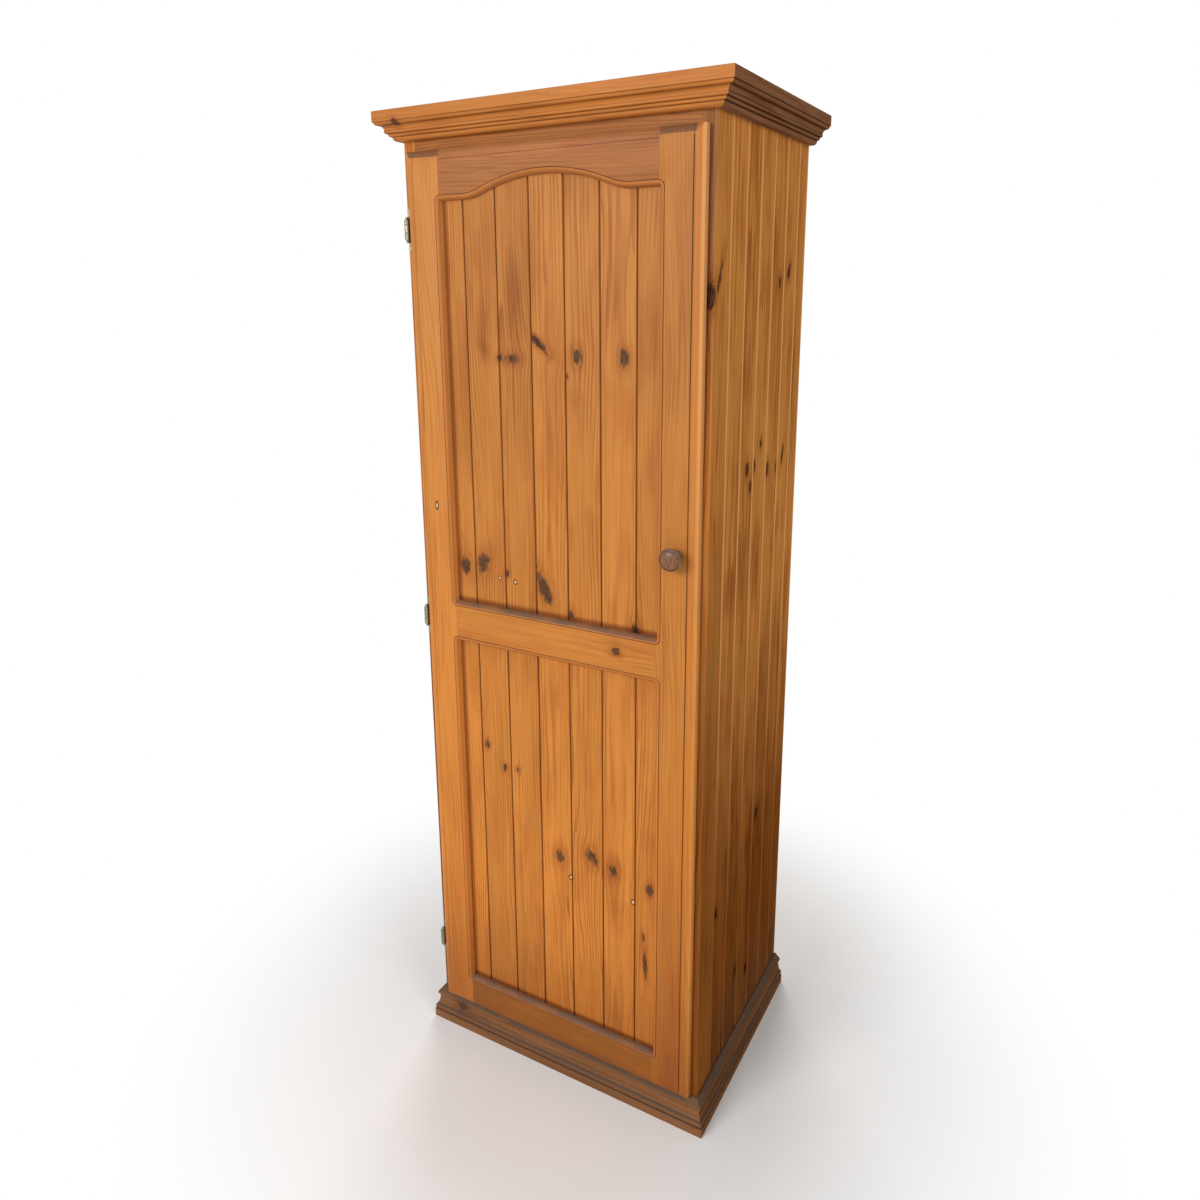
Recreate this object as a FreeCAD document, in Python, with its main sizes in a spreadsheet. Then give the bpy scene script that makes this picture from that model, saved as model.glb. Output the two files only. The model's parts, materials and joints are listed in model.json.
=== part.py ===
import FreeCAD, Part
import Sketcher
import math
import os
import re

# Single-door panelled storage cabinet in solid pine, in millimetres.
# X runs to the right seen from the front, the door faces -Y and Z points up.
# The origin lies on the floor, in the middle of the whole object's box.

SIZES = (
    # Carcass
    ("overall_height", "1885"),
    ("carcass_width", "600"),
    ("carcass_depth", "458"),
    ("face_stile_width", "24"),
    ("face_stile_depth", "65"),
    ("face_rail_thickness", "22"),
    ("board_cover", "68"),
    ("side_board_thickness", "14"),
    ("back_board_thickness", "9"),
    ("board_tongue", "5"),
    ("board_vee", "2.4"),
    ("board_clearance", "0.2"),
    ("rear_post_size", "30"),
    ("cornice_rim", "12"),
    ("top_panel_thickness", "18"),
    ("floor_panel_thickness", "18"),
    ("bottom_rail_height", "48"),
    ("shelf_thickness", "20"),
    ("shelf_arris", "2"),
    ("shelf_clearance", "0.5"),
    ("batten_height", "25"),
    ("batten_thickness", "14"),
    ("batten_chamfer", "4"),
    ("frame_tenon_length", "14"),
    ("frame_tenon_thickness", "8"),
    ("frame_tenon_shoulder", "12"),
    ("tenon_clearance", "0.2"),
    ("block_length", "60"),
    ("block_size", "10"),
    # Cornice moulding, members from the top down
    ("cornice_arris", "1.2"),
    ("cornice_fascia", "19"),
    ("cornice_quirk", "2"),
    ("cornice_ovolo", "5"),
    ("cornice_cove", "8"),
    ("cornice_reed", "5"),
    ("cornice_fillet", "1"),
    ("cornice_foot", "6"),
    ("cornice_foot_drop", "7"),
    ("cornice_bed", "8"),
    # Plinth moulding
    ("plinth_height", "70"),
    ("plinth_overhang", "19.5"),
    ("plinth_top_flat", "3"),
    ("plinth_nosing", "14"),
    ("plinth_ledge_drop", "10"),
    ("plinth_nosing_height", "4"),
    ("plinth_waist", "10.5"),
    ("plinth_waist_height", "51"),
    ("plinth_band_foot", "16"),
    ("plinth_bead_top", "30"),
    ("plinth_bead", "10"),
    ("plinth_quirk", "1.5"),
    ("plinth_sweep_radius", "60"),
    # Door
    ("door_thickness", "20"),
    ("door_stile_width", "74"),
    ("door_hinge_reveal", "16"),
    ("door_knob_reveal", "12"),
    ("door_top_reveal", "20"),
    ("door_bottom_gap", "2"),
    ("door_overlap", "12"),
    ("hinge_gap", "2"),
    ("bottom_rail_width", "76"),
    ("middle_rail_foot", "839"),
    ("middle_rail_width", "82"),
    ("top_rail_width", "86"),
    ("panel_recess", "11"),
    ("panel_rebate", "8"),
    ("panel_clearance", "0.5"),
    ("arch_rise", "32"),
    ("crown_radius", "330"),
    ("reverse_radius", "100"),
    ("sticking_width", "10"),
    ("sticking_fillet", "1"),
    ("sticking_corner", "1"),
    ("edge_moulding_width", "17"),
    ("edge_moulding_quirk", "1.5"),
    ("edge_moulding_drop", "6.4"),
    ("door_tenon_margin", "3"),
    ("door_tenon_thickness", "6"),
    ("door_tenon_setback", "3"),
    ("door_tenon_shoulder", "20"),
    # Knob
    ("knob_height", "1145"),
    ("knob_diameter", "40"),
    ("knob_projection", "32"),
    ("knob_neck_diameter", "18"),
    ("knob_foot_diameter", "25"),
    ("knob_foot_height", "4"),
    ("knob_neck_height", "10"),
    ("knob_rim_height", "22"),
    ("knob_rim_thickness", "3.5"),
    ("knob_crown_diameter", "29"),
    ("knob_screw_radius", "2"),
    ("knob_screw_clearance", "0.05"),
    ("knob_screw_length", "32"),
    ("knob_screw_head_radius", "4"),
    ("knob_screw_head_height", "2.4"),
    # Hinges
    ("hinge_end_distance", "131"),
    ("hinge_middle_height", "945"),
    ("hinge_axis_inset", "3"),
    ("knuckle_radius", "5.5"),
    ("knuckle_length", "9"),
    ("middle_knuckle_length", "15.4"),
    ("knuckle_clearance", "0.3"),
    ("leaf_thickness", "1.5"),
    ("leaf_height", "74"),
    ("leaf_width", "22"),
    ("leaf_edge_margin", "1"),
    ("leaf_clearance", "0.3"),
    ("door_leaf_width", "24"),
    ("door_leaf_height", "46"),
    ("pin_radius", "2"),
    ("pin_clearance", "0.05"),
    # Magnetic catch
    ("catch_width", "14"),
    ("catch_depth", "15"),
    ("catch_height", "42"),
    ("catch_plate_thickness", "1.2"),
    ("catch_plate_width", "12"),
    ("catch_plate_height", "36"),
    ("catch_clearance", "0.3"),
    ("catch_offset", "120"),
    # How far a cutting tool runs past what it cuts
    ("overrun", "5"),
)

ALIASES = frozenset(name for name, value in SIZES)
SIDE_BOARDS = 6
DOOR_BOARDS = 7
BACK_BOARDS = 9
SHELVES = 3
STICKING_STEPS = 3
LEFT = -1
RIGHT = 1

# Heights, worked out from the sizes
CORNICE_HEIGHT = ("(cornice_fascia + cornice_ovolo + cornice_cove + 2 * cornice_reed"
                  " + cornice_fillet + cornice_foot_drop)")
CORNICE_OVERHANG = ("(cornice_quirk + cornice_ovolo + cornice_cove + 2 * cornice_reed"
                    " + cornice_foot + cornice_bed)")
CORNICE_FOOT_Z = f"(overall_height - {CORNICE_HEIGHT})"
CARCASS_TOP = "(overall_height - cornice_rim)"
TOP_PANEL_FOOT = f"({CARCASS_TOP} - top_panel_thickness)"
DOOR_FOOT = "(plinth_height + door_bottom_gap)"
DOOR_HEAD = f"({CORNICE_FOOT_Z} - door_top_reveal)"
MOUTH_FOOT = f"({DOOR_FOOT} + door_overlap)"
MOUTH_HEAD = f"({DOOR_HEAD} - door_overlap)"
SHELF_PITCH = f"(({TOP_PANEL_FOOT} - {MOUTH_FOOT} + shelf_thickness) / {SHELVES + 1})"

# Places across the width and the depth
HALF_WIDTH = "(carcass_width / 2)"
FACE_Y = "((knob_projection + door_thickness + hinge_gap - carcass_depth) / 2)"
BACK_Y = f"({FACE_Y} + carcass_depth)"
INNER_BACK_Y = f"({BACK_Y} - back_board_thickness)"
RAIL_BACK_Y = f"({FACE_Y} + face_rail_thickness)"
STILE_BACK_Y = f"({FACE_Y} + face_stile_depth)"
DOOR_BACK_Y = f"({FACE_Y} - hinge_gap)"
DOOR_FRONT_Y = f"({DOOR_BACK_Y} - door_thickness)"
PANEL_Y = f"({DOOR_FRONT_Y} + panel_recess)"
DOOR_LEFT = f"(door_hinge_reveal - {HALF_WIDTH})"
DOOR_RIGHT = f"({HALF_WIDTH} - door_knob_reveal)"
DOOR_MIDDLE = "((door_hinge_reveal - door_knob_reveal) / 2)"
SIGHT_HALF = (f"(({DOOR_RIGHT} - {DOOR_LEFT}) / 2 - door_stile_width)")

# Door openings at the sight line
LOWER_FOOT = f"({DOOR_FOOT} + bottom_rail_width)"
LOWER_HEAD = f"({DOOR_FOOT} + middle_rail_foot)"
UPPER_FOOT = f"({LOWER_HEAD} + middle_rail_width)"
UPPER_HEAD = f"({DOOR_HEAD} - top_rail_width)"
PANEL_FOOT = f"({LOWER_FOOT} - panel_rebate)"
PANEL_HEAD = f"({UPPER_HEAD} + arch_rise + panel_rebate)"

# Hinge axis and leaves
HINGE_X = f"(hinge_axis_inset - {HALF_WIDTH})"
HINGE_Y = f"({FACE_Y} - knuckle_radius - leaf_clearance)"
HINGE_HEIGHTS = {
    "lower": f"({DOOR_FOOT} + hinge_end_distance)",
    "middle": "hinge_middle_height",
    "upper": f"({DOOR_HEAD} - hinge_end_distance)",
}
LEAF_LEFT = f"(leaf_edge_margin - {HALF_WIDTH})"
MIDDLE_GAP = "(middle_knuckle_length / 2 + knuckle_clearance)"
BARREL_HALF = f"({MIDDLE_GAP} + knuckle_length)"
DOOR_LEAF_FRONT_Y = f"({FACE_Y} - 2 * leaf_thickness - leaf_clearance)"
DOOR_LEAF_LEFT = f"({DOOR_LEFT} + leaf_clearance)"
KNOB_X = f"({DOOR_RIGHT} - door_stile_width / 2)"
DOOR_TENON = "(door_stile_width / 2 - knob_screw_radius - door_tenon_margin)"
CATCH_Z = "(knob_height + catch_offset)"

doc = FreeCAD.newDocument("storage_cabinet")
sheet = doc.addObject("Spreadsheet::Sheet", "size")
nodes = []


def fill_sheet():
    """Write each named size and its value, one row each, and name the value's cell."""
    for row, (name, value) in enumerate(SIZES, 1):
        sheet.set(f"A{row}", name)
        sheet.set(f"B{row}", value)
        sheet.setAlias(f"B{row}", name)
    doc.recompute()


def formula(text):
    """Name the sheet before each size in a formula."""
    def named(match):
        word = match.group(0)
        return f"size.{word}" if word in ALIASES else word
    return re.sub(r"[a-z_]+", named, text)


def worth(text):
    """The value of a formula, for the first sketch geometry."""
    return float(sheet.evalExpression(formula(text)))


def bind(thing, path, text):
    thing.setExpression(path, formula(text))


# How the three sketch planes lie: rotation, which place along the normal moves
# the plane, and whether a pad or a pocket has to be turned round to grow along
# the positive world axis.
PLANES = {
    "XY": ("XY_Plane", "{}", False, True),
    "XZ": ("XZ_Plane", "-({})", True, False),
    "YZ": ("YZ_Plane", "{}", False, True),
}


def arc_between(start, end, radius, turn):
    """The lesser arc from start to end, bending left (turn 1) or right (turn -1)."""
    chord = end - start
    half = chord.Length / 2
    rise = math.sqrt(max(radius * radius - half * half, 0))
    across = FreeCAD.Vector(-chord.y, chord.x, 0).normalize()
    centre = start + chord / 2 + across * rise * turn
    first, last = (start, end) if turn > 0 else (end, start)
    low = math.atan2(first.y - centre.y, first.x - centre.x)
    high = math.atan2(last.y - centre.y, last.x - centre.x)
    if high <= low:
        high += 2 * math.pi
    circle = Part.Circle(centre, FreeCAD.Vector(0, 0, 1), radius)
    return Part.ArcOfCircle(circle, low, high)


def draw(sketch, steps):
    """Draw a closed outline and hold it with sizes from the sheet.

    Each step is a corner (x, y), or (x, y, radius, turn) where an arc leads to
    that corner from the one before, bending left (1) or right (-1).
    """
    corners = [FreeCAD.Vector(worth(step[0]), worth(step[1]), 0) for step in steps]
    shapes = []
    ends = []
    for index, step in enumerate(steps):
        before = corners[index - 1]
        here = corners[index]
        if len(step) == 2:
            shapes.append(Part.LineSegment(before, here))
            ends.append((1, 2))
        else:
            shapes.append(arc_between(before, here, worth(step[2]), step[3]))
            ends.append((1, 2) if step[3] > 0 else (2, 1))
    sketch.addGeometry(shapes, False)
    rules = []
    sizes = []
    count = len(steps)
    for index in range(count):
        follower = (index + 1) % count
        rules.append(Sketcher.Constraint("Coincident", index, ends[index][1],
                                         follower, ends[follower][0]))
    for index, step in enumerate(steps):
        corner = corners[index]
        place = (index, ends[index][1])
        sizes.append((len(rules), step[0]))
        rules.append(Sketcher.Constraint("DistanceX", -1, 1, *place, corner.x))
        sizes.append((len(rules), step[1]))
        rules.append(Sketcher.Constraint("DistanceY", -1, 1, *place, corner.y))
        if len(step) > 2:
            sizes.append((len(rules), step[2]))
            rules.append(Sketcher.Constraint("Radius", index, worth(step[2])))
    sketch.addConstraint(rules)
    for number, text in sizes:
        bind(sketch, f"Constraints[{number}]", text)


def new_body(name):
    body = doc.addObject("PartDesign::Body", name)
    body.Label = name
    return body


def new_sketch(body, plane, place, steps):
    """A sketch on one of the body's own planes, moved along its normal to place."""
    role, along, pad_turned, pocket_turned = PLANES[plane]
    sketch = body.newObject("Sketcher::SketchObject", f"{body.Name}_outline")
    origin = [item for item in body.Origin.OriginFeatures if item.Role == role][0]
    sketch.AttachmentSupport = [(origin, "")]
    sketch.MapMode = "FlatFace"
    bind(sketch, "AttachmentOffset.Base.z", along.format(place))
    draw(sketch, steps)
    return sketch


def add_pad(body, plane, place, length, steps):
    """Pad an outline from its plane towards the positive axis."""
    sketch = new_sketch(body, plane, place, steps)
    pad = body.newObject("PartDesign::Pad", f"{body.Name}_pad")
    pad.Profile = sketch
    pad.Reversed = PLANES[plane][2]
    bind(pad, "Length", length)
    return pad


def add_pocket(body, plane, place, length, steps):
    """Cut an outline out of the body, from its plane towards the positive axis."""
    doc.recompute()
    before = body.Shape.Volume
    sketch = new_sketch(body, plane, place, steps)
    pocket = body.newObject("PartDesign::Pocket", f"{body.Name}_pocket")
    pocket.Profile = sketch
    pocket.Reversed = PLANES[plane][3]
    bind(pocket, "Length", length)
    doc.recompute()
    if not body.Shape.Volume < before:
        raise RuntimeError(f"{body.Name}: a pocket cut nothing")
    return pocket


def rectangle(low_x, high_x, low_y, high_y):
    return [(low_x, low_y), (high_x, low_y), (high_x, high_y), (low_x, high_y)]


def span(side, near, far):
    """Two places measured from the middle, as low and high x on the given side."""
    if side == RIGHT:
        return near, far
    return f"-({far})", f"-({near})"


def keep(node):
    """List a finished sub-part, whose Label is its node name."""
    nodes.append(node)
    return node


def tongued_board(name, thickness, cover, length, has_groove=True, has_tongue=True,
                  mirrored=False):
    """A matched board: face on Y = 0, width along X, length along Z.

    The groove lies along X = 0 and the tongue stands past X = cover, or the other
    way round if mirrored. Both face corners are chamfered, so two boards meet in
    a vee.
    """
    tongue_low = f"{thickness} / 3"
    tongue_high = f"{thickness} * 2 / 3"
    steps = [("board_vee", "0"), (f"{cover} - board_vee", "0"), (cover, "board_vee")]
    if has_tongue:
        steps += [(cover, tongue_low), (f"{cover} + board_tongue", tongue_low),
                  (f"{cover} + board_tongue", tongue_high), (cover, tongue_high)]
    steps += [(cover, thickness), ("0", thickness)]
    if has_groove:
        groove_low = f"{tongue_low} - board_clearance"
        groove_high = f"{tongue_high} + board_clearance"
        groove = "board_tongue + board_clearance"
        steps += [("0", groove_high), (groove, groove_high), (groove, groove_low),
                  ("0", groove_low)]
    steps.append(("0", "board_vee"))
    if mirrored:
        steps = [(f"{cover} - ({x})", y) for x, y in steps]
    body = new_body(name)
    add_pad(body, "XY", "0", length, steps)
    return body


def set_place(body, x, y, z, quarter_turns=0):
    """Stand a board where the formulas say, turned about Z."""
    turn = FreeCAD.Rotation(FreeCAD.Vector(0, 0, 1), 90 * quarter_turns)
    body.Placement = FreeCAD.Placement(FreeCAD.Vector(), turn)
    bind(body, "Placement.Base.x", x)
    bind(body, "Placement.Base.y", y)
    bind(body, "Placement.Base.z", z)


def make_face_stile(side, name):
    """Corner post of the front: mortised for both rails, tongued for its side board."""
    body = new_body(name)
    vee = "board_vee"
    outer = [("-face_stile_width", "0"), ("0", "0"), ("0", f"face_stile_depth - {vee}"),
             (f"-{vee}", "face_stile_depth")]
    tongue_low = "-side_board_thickness / 3"
    tongue_high = "-side_board_thickness * 2 / 3"
    tongue_end = "face_stile_depth + board_tongue"
    tongue = [(tongue_low, "face_stile_depth"), (tongue_low, tongue_end),
              (tongue_high, tongue_end), (tongue_high, "face_stile_depth")]
    steps = outer + tongue + [("-face_stile_width", "face_stile_depth")]
    moved = [(f"{side} * ({HALF_WIDTH} + {x})", f"{FACE_Y} + {y}") for x, y in steps]
    add_pad(body, "XY", "0", CARCASS_TOP, moved)
    for foot, head in frame_rail_heights():
        low, high = span(side, f"{HALF_WIDTH} - face_stile_width - overrun",
                         frame_tenon_end())
        mortise = rectangle(low, high,
                            f"{FACE_Y} + (face_rail_thickness - frame_tenon_thickness) / 2",
                            f"{FACE_Y} + (face_rail_thickness + frame_tenon_thickness) / 2")
        add_pocket(body, "XY", f"{foot} + frame_tenon_shoulder - tenon_clearance",
                   f"{head} - {foot} - 2 * frame_tenon_shoulder + 2 * tenon_clearance",
                   mortise)
    return body


def frame_tenon_end():
    return f"({HALF_WIDTH} - face_stile_width + frame_tenon_length + tenon_clearance)"


def frame_rail_heights():
    """Foot and head of the bottom rail and of the frieze rail."""
    return ((f"({MOUTH_FOOT} - bottom_rail_height)", MOUTH_FOOT),
            (MOUTH_HEAD, CARCASS_TOP))


def make_face_rail(name, foot, head):
    """Rail of the front frame, with a stub tenon on each end."""
    body = new_body(name)
    shoulder = f"({HALF_WIDTH} - face_stile_width)"
    add_pad(body, "XY", foot, f"{head} - {foot}",
            rectangle(f"-{shoulder}", shoulder, FACE_Y, RAIL_BACK_Y))
    tip = f"({shoulder} + frame_tenon_length)"
    add_pad(body, "XY", f"{foot} + frame_tenon_shoulder",
            f"{head} - {foot} - 2 * frame_tenon_shoulder",
            rectangle(f"-{tip}", tip,
                      f"{FACE_Y} + (face_rail_thickness - frame_tenon_thickness) / 2",
                      f"{FACE_Y} + (face_rail_thickness + frame_tenon_thickness) / 2"))
    return body


def make_face_frame():
    for side, word in ((LEFT, "left"), (RIGHT, "right")):
        keep(make_face_stile(side, f"{word}_face_stile"))
    names = ("bottom_face_rail", "frieze_rail")
    for name, (foot, head) in zip(names, frame_rail_heights()):
        keep(make_face_rail(name, foot, head))


def make_side_boards():
    """Vertical matched boards behind each front stile; the last is ripped to fit."""
    for side, word in ((LEFT, "left"), (RIGHT, "right")):
        for number in range(1, SIDE_BOARDS + 1):
            start = f"(face_stile_depth + {number - 1} * board_cover)"
            last = number == SIDE_BOARDS
            cover = f"(carcass_depth - {start})" if last else "board_cover"
            body = tongued_board(f"{word}_side_board_{number}", "side_board_thickness",
                                 cover, CARCASS_TOP, has_tongue=not last,
                                 mirrored=side == LEFT)
            if side == RIGHT:
                set_place(body, HALF_WIDTH, f"{FACE_Y} + {start}", "0", 1)
            else:
                set_place(body, f"-{HALF_WIDTH}", f"{FACE_Y} + {start} + {cover}", "0", -1)
            keep(body)


def make_back_boards():
    """Matched boards across the back, let in between the side boards."""
    inner_half = f"({HALF_WIDTH} - side_board_thickness)"
    cover = f"(2 * {inner_half} / {BACK_BOARDS})"
    foot = frame_rail_heights()[0][0]
    boards = []
    for number in range(BACK_BOARDS):
        body = tongued_board(f"back_board_{number + 1}", "back_board_thickness", cover,
                             f"{CARCASS_TOP} - {foot}", has_groove=number > 0,
                             has_tongue=number < BACK_BOARDS - 1)
        set_place(body, f"{inner_half} - {number} * {cover}", BACK_Y, foot, 2)
        boards.append(body)
    keep(group("back_boards", boards))


def group(name, pieces):
    """Several like pieces under one node name, each still a solid of its own."""
    joined = doc.addObject("Part::Compound", name)
    joined.Label = name
    joined.Links = pieces
    return joined


def make_rear_posts():
    """Square posts in the back corners, which the side and back boards are nailed to."""
    outer = f"{HALF_WIDTH} - side_board_thickness"
    for side, word in ((LEFT, "left"), (RIGHT, "right")):
        low, high = span(side, f"{outer} - rear_post_size", outer)
        body = new_body(f"{word}_rear_post")
        add_pad(body, "XY", "0", TOP_PANEL_FOOT,
                rectangle(low, high, f"{INNER_BACK_Y} - rear_post_size", INNER_BACK_Y))
        keep(body)


def notched_panel(name, foot, thickness, clearance, around_posts=True):
    """A level panel with its corners notched round the front stiles and rear posts."""
    body = new_body(name)
    wide = f"({HALF_WIDTH} - side_board_thickness - {clearance})"
    front_half = f"({HALF_WIDTH} - face_stile_width - {clearance})"
    front = f"{RAIL_BACK_Y} + {clearance}"
    notch = f"{STILE_BACK_Y} + {clearance}"
    back = f"{INNER_BACK_Y} - {clearance}"
    right = [(front_half, front), (front_half, notch), (wide, notch)]
    if around_posts:
        post_half = f"({wide} - rear_post_size)"
        post_front = f"{back} - rear_post_size"
        right += [(wide, post_front), (post_half, post_front), (post_half, back)]
    else:
        right.append((wide, back))
    left = [(f"-{x}", y) for x, y in reversed(right)]
    add_pad(body, "XY", foot, thickness, right + left)
    return body


def ease_front(body, size, reach):
    """Round the long front edges of a shelf."""
    doc.recompute()
    front = worth(f"{RAIL_BACK_Y} + {reach}")
    names = []
    for number, edge in enumerate(body.Shape.Edges, 1):
        box = edge.BoundBox
        level = box.ZLength < box.XLength and box.YLength < box.XLength
        if level and abs(box.YMin - front) < worth(size) / 2:
            names.append(f"Edge{number}")
    panel = body.Tip
    fillet = body.newObject("PartDesign::Fillet", f"{body.Name}_arris")
    fillet.Base = (panel, names)
    bind(fillet, "Radius", size)
    doc.recompute()


def shelf_foot(number):
    return f"({MOUTH_FOOT} + {number} * {SHELF_PITCH} - shelf_thickness)"


def make_panels_and_shelves():
    keep(notched_panel("top_panel", TOP_PANEL_FOOT, "top_panel_thickness",
                       "0", around_posts=False))
    keep(notched_panel("floor_panel", f"({MOUTH_FOOT} - floor_panel_thickness)",
                       "floor_panel_thickness", "0"))
    for number in range(1, SHELVES + 1):
        body = notched_panel(f"shelf_{number}", shelf_foot(number), "shelf_thickness",
                             "shelf_clearance")
        ease_front(body, "shelf_arris", "shelf_clearance")
        keep(body)


def make_battens():
    """A batten on each side under the floor panel, the shelves and the top panel."""
    outer = f"{HALF_WIDTH} - side_board_thickness"
    seats = [f"({MOUTH_FOOT} - floor_panel_thickness)"]
    seats += [shelf_foot(number) for number in range(1, SHELVES + 1)]
    seats.append(TOP_PANEL_FOOT)
    pieces = []
    for side, word in ((LEFT, "left"), (RIGHT, "right")):
        for number, seat in enumerate(seats):
            body = new_body(f"{word}_batten_{number}")
            inner = f"{outer} - batten_thickness"
            foot = f"{seat} - batten_height"
            outline = [(outer, foot), (outer, seat), (inner, seat),
                       (inner, f"{foot} + batten_chamfer"),
                       (f"{inner} + batten_chamfer", foot)]
            if side == LEFT:
                outline = [(f"-({x})", z) for x, z in outline]
            add_pad(body, "XZ", STILE_BACK_Y,
                    f"{INNER_BACK_Y} - rear_post_size - {STILE_BACK_Y}", outline)
            pieces.append(body)
    keep(group("side_battens", pieces))


# Moulding profiles: each step is (stand-off from the carcass, height), with a
# radius and a turn where a curved member leads to it.
REED_CURVE_SHARE = 0.75
BEAD_CURVE_SHARE = 0.575
# The fillet of the door's sticking falls a little towards the opening.
FILLET_FALL_SHARE = 1.1


def cornice_profile():
    """Bed, ovolo foot, fillet, two reeds, cove, ovolo, quirk and fascia."""
    out = "cornice_bed"
    height = CORNICE_FOOT_Z
    steps = [("0", height), (out, height)]
    out = f"{out} + cornice_foot"
    height = f"{height} + cornice_foot_drop"
    steps.append((out, height, "cornice_foot_drop", 1))
    height = f"{height} + cornice_fillet"
    steps.append((out, height))
    for _ in range(2):
        out = f"{out} + cornice_reed"
        height = f"{height} + cornice_reed"
        steps.append((out, height, f"cornice_reed * {REED_CURVE_SHARE}", 1))
    for member, turn in (("cornice_cove", -1), ("cornice_ovolo", 1)):
        out = f"{out} + {member}"
        height = f"{height} + {member}"
        steps.append((out, height, member, turn))
    face = f"{out} + cornice_quirk"
    steps.append((f"{face} - cornice_arris", height))
    steps.append((face, f"{height} + cornice_arris", "cornice_arris", 1))
    steps.append((face, "overall_height - cornice_arris"))
    steps.append((f"{face} - cornice_arris", "overall_height", "cornice_arris", 1))
    steps.append(("0", "overall_height"))
    return steps


def plinth_profile():
    """Base, bead between quirks, hollowed band, nosing and sloping ledge."""
    bead_foot = "plinth_bead_top - plinth_bead"
    ledge = "plinth_height - plinth_ledge_drop"
    return [
        ("0", "0"),
        ("plinth_overhang", "0"),
        ("plinth_overhang", f"{bead_foot} - plinth_quirk"),
        ("plinth_band_foot", f"{bead_foot} - plinth_quirk"),
        ("plinth_band_foot", bead_foot),
        ("plinth_band_foot", "plinth_bead_top", f"plinth_bead * {BEAD_CURVE_SHARE}", 1),
        ("plinth_band_foot - plinth_quirk", "plinth_bead_top"),
        ("plinth_waist", "plinth_waist_height", "plinth_sweep_radius", -1),
        ("plinth_nosing", f"{ledge} - plinth_nosing_height"),
        ("plinth_nosing", ledge),
        ("plinth_top_flat", "plinth_height"),
        ("0", "plinth_height"),
    ]


def moved_profile(steps, place):
    """Map each step's stand-off and height into a sketch; place(out) gives the new x."""
    mirrored = worth(place("carcass_width")) < worth(place("0"))
    moved = []
    for step in steps:
        new = [place(step[0]), step[1], *step[2:]]
        if mirrored and len(step) > 2:
            new[3] = -step[3]
        moved.append(tuple(new))
    return moved


def make_moulding(word, profile, overhang, foot, height):
    """Front, left and right lengths, mitred where they meet at the front corners."""
    reach = f"({overhang} + overrun)"
    right = f"({HALF_WIDTH} + {reach})"
    near = f"({HALF_WIDTH} - overrun)"
    front = f"({FACE_Y} - {reach})"
    behind = f"({FACE_Y} + overrun)"

    def mitre(body, third_x, third_y, side):
        corners = [(f"{side} * {near}", behind), (f"{side} * {right}", front),
                   (f"{side} * {third_x}", third_y)]
        add_pocket(body, "XY", f"{foot} - overrun", f"{height} + 2 * overrun", corners)

    body = new_body(f"{word}_front")
    add_pad(body, "YZ", f"-({HALF_WIDTH} + {overhang})", f"carcass_width + 2 * {overhang}",
            moved_profile(profile, lambda out: f"{FACE_Y} - ({out})"))
    mitre(body, right, behind, LEFT)
    mitre(body, right, behind, RIGHT)
    keep(body)
    for side, name in ((LEFT, "left"), (RIGHT, "right")):
        body = new_body(f"{word}_{name}")
        add_pad(body, "XZ", f"({FACE_Y} - {overhang})", f"carcass_depth + {overhang}",
                moved_profile(profile, lambda out: f"{side} * ({HALF_WIDTH} + {out})"))
        mitre(body, near, front, side)
        keep(body)


def make_cornice_blocks():
    """Glue blocks behind the cornice, on the frieze rail and on the side boards."""
    top = CARCASS_TOP
    upper = f"{top} + block_size"
    pieces = []
    for number in range(-1, 2):
        body = new_body(f"front_block_{number + 2}")
        middle = f"{number} * (carcass_width - 4 * block_length) / 2"
        outline = [(FACE_Y, top), (f"{FACE_Y} + block_size", top), (FACE_Y, upper)]
        add_pad(body, "YZ", f"{middle} - block_length / 2", "block_length", outline)
        pieces.append(body)
    for side, word in ((LEFT, "left"), (RIGHT, "right")):
        for number in (1, 2):
            body = new_body(f"{word}_block_{number}")
            outline = [(f"{side} * {HALF_WIDTH}", top),
                       (f"{side} * ({HALF_WIDTH} - block_size)", top),
                       (f"{side} * {HALF_WIDTH}", upper)]
            middle = f"{FACE_Y} + {number} * carcass_depth / 3"
            add_pad(body, "XZ", f"{middle} - block_length / 2", "block_length", outline)
            pieces.append(body)
    keep(group("cornice_blocks", pieces))


def loft_section(name, depth, steps):
    """An outline standing in the front plane's direction, at a depth from the door's face."""
    section = doc.addObject("Sketcher::SketchObject", name)
    upright = FreeCAD.Rotation(FreeCAD.Vector(1, 0, 0), 90)
    section.Placement = FreeCAD.Placement(FreeCAD.Vector(), upright)
    bind(section, "Placement.Base.y", f"{DOOR_FRONT_Y} + {depth}")
    draw(section, steps)
    return section


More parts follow.
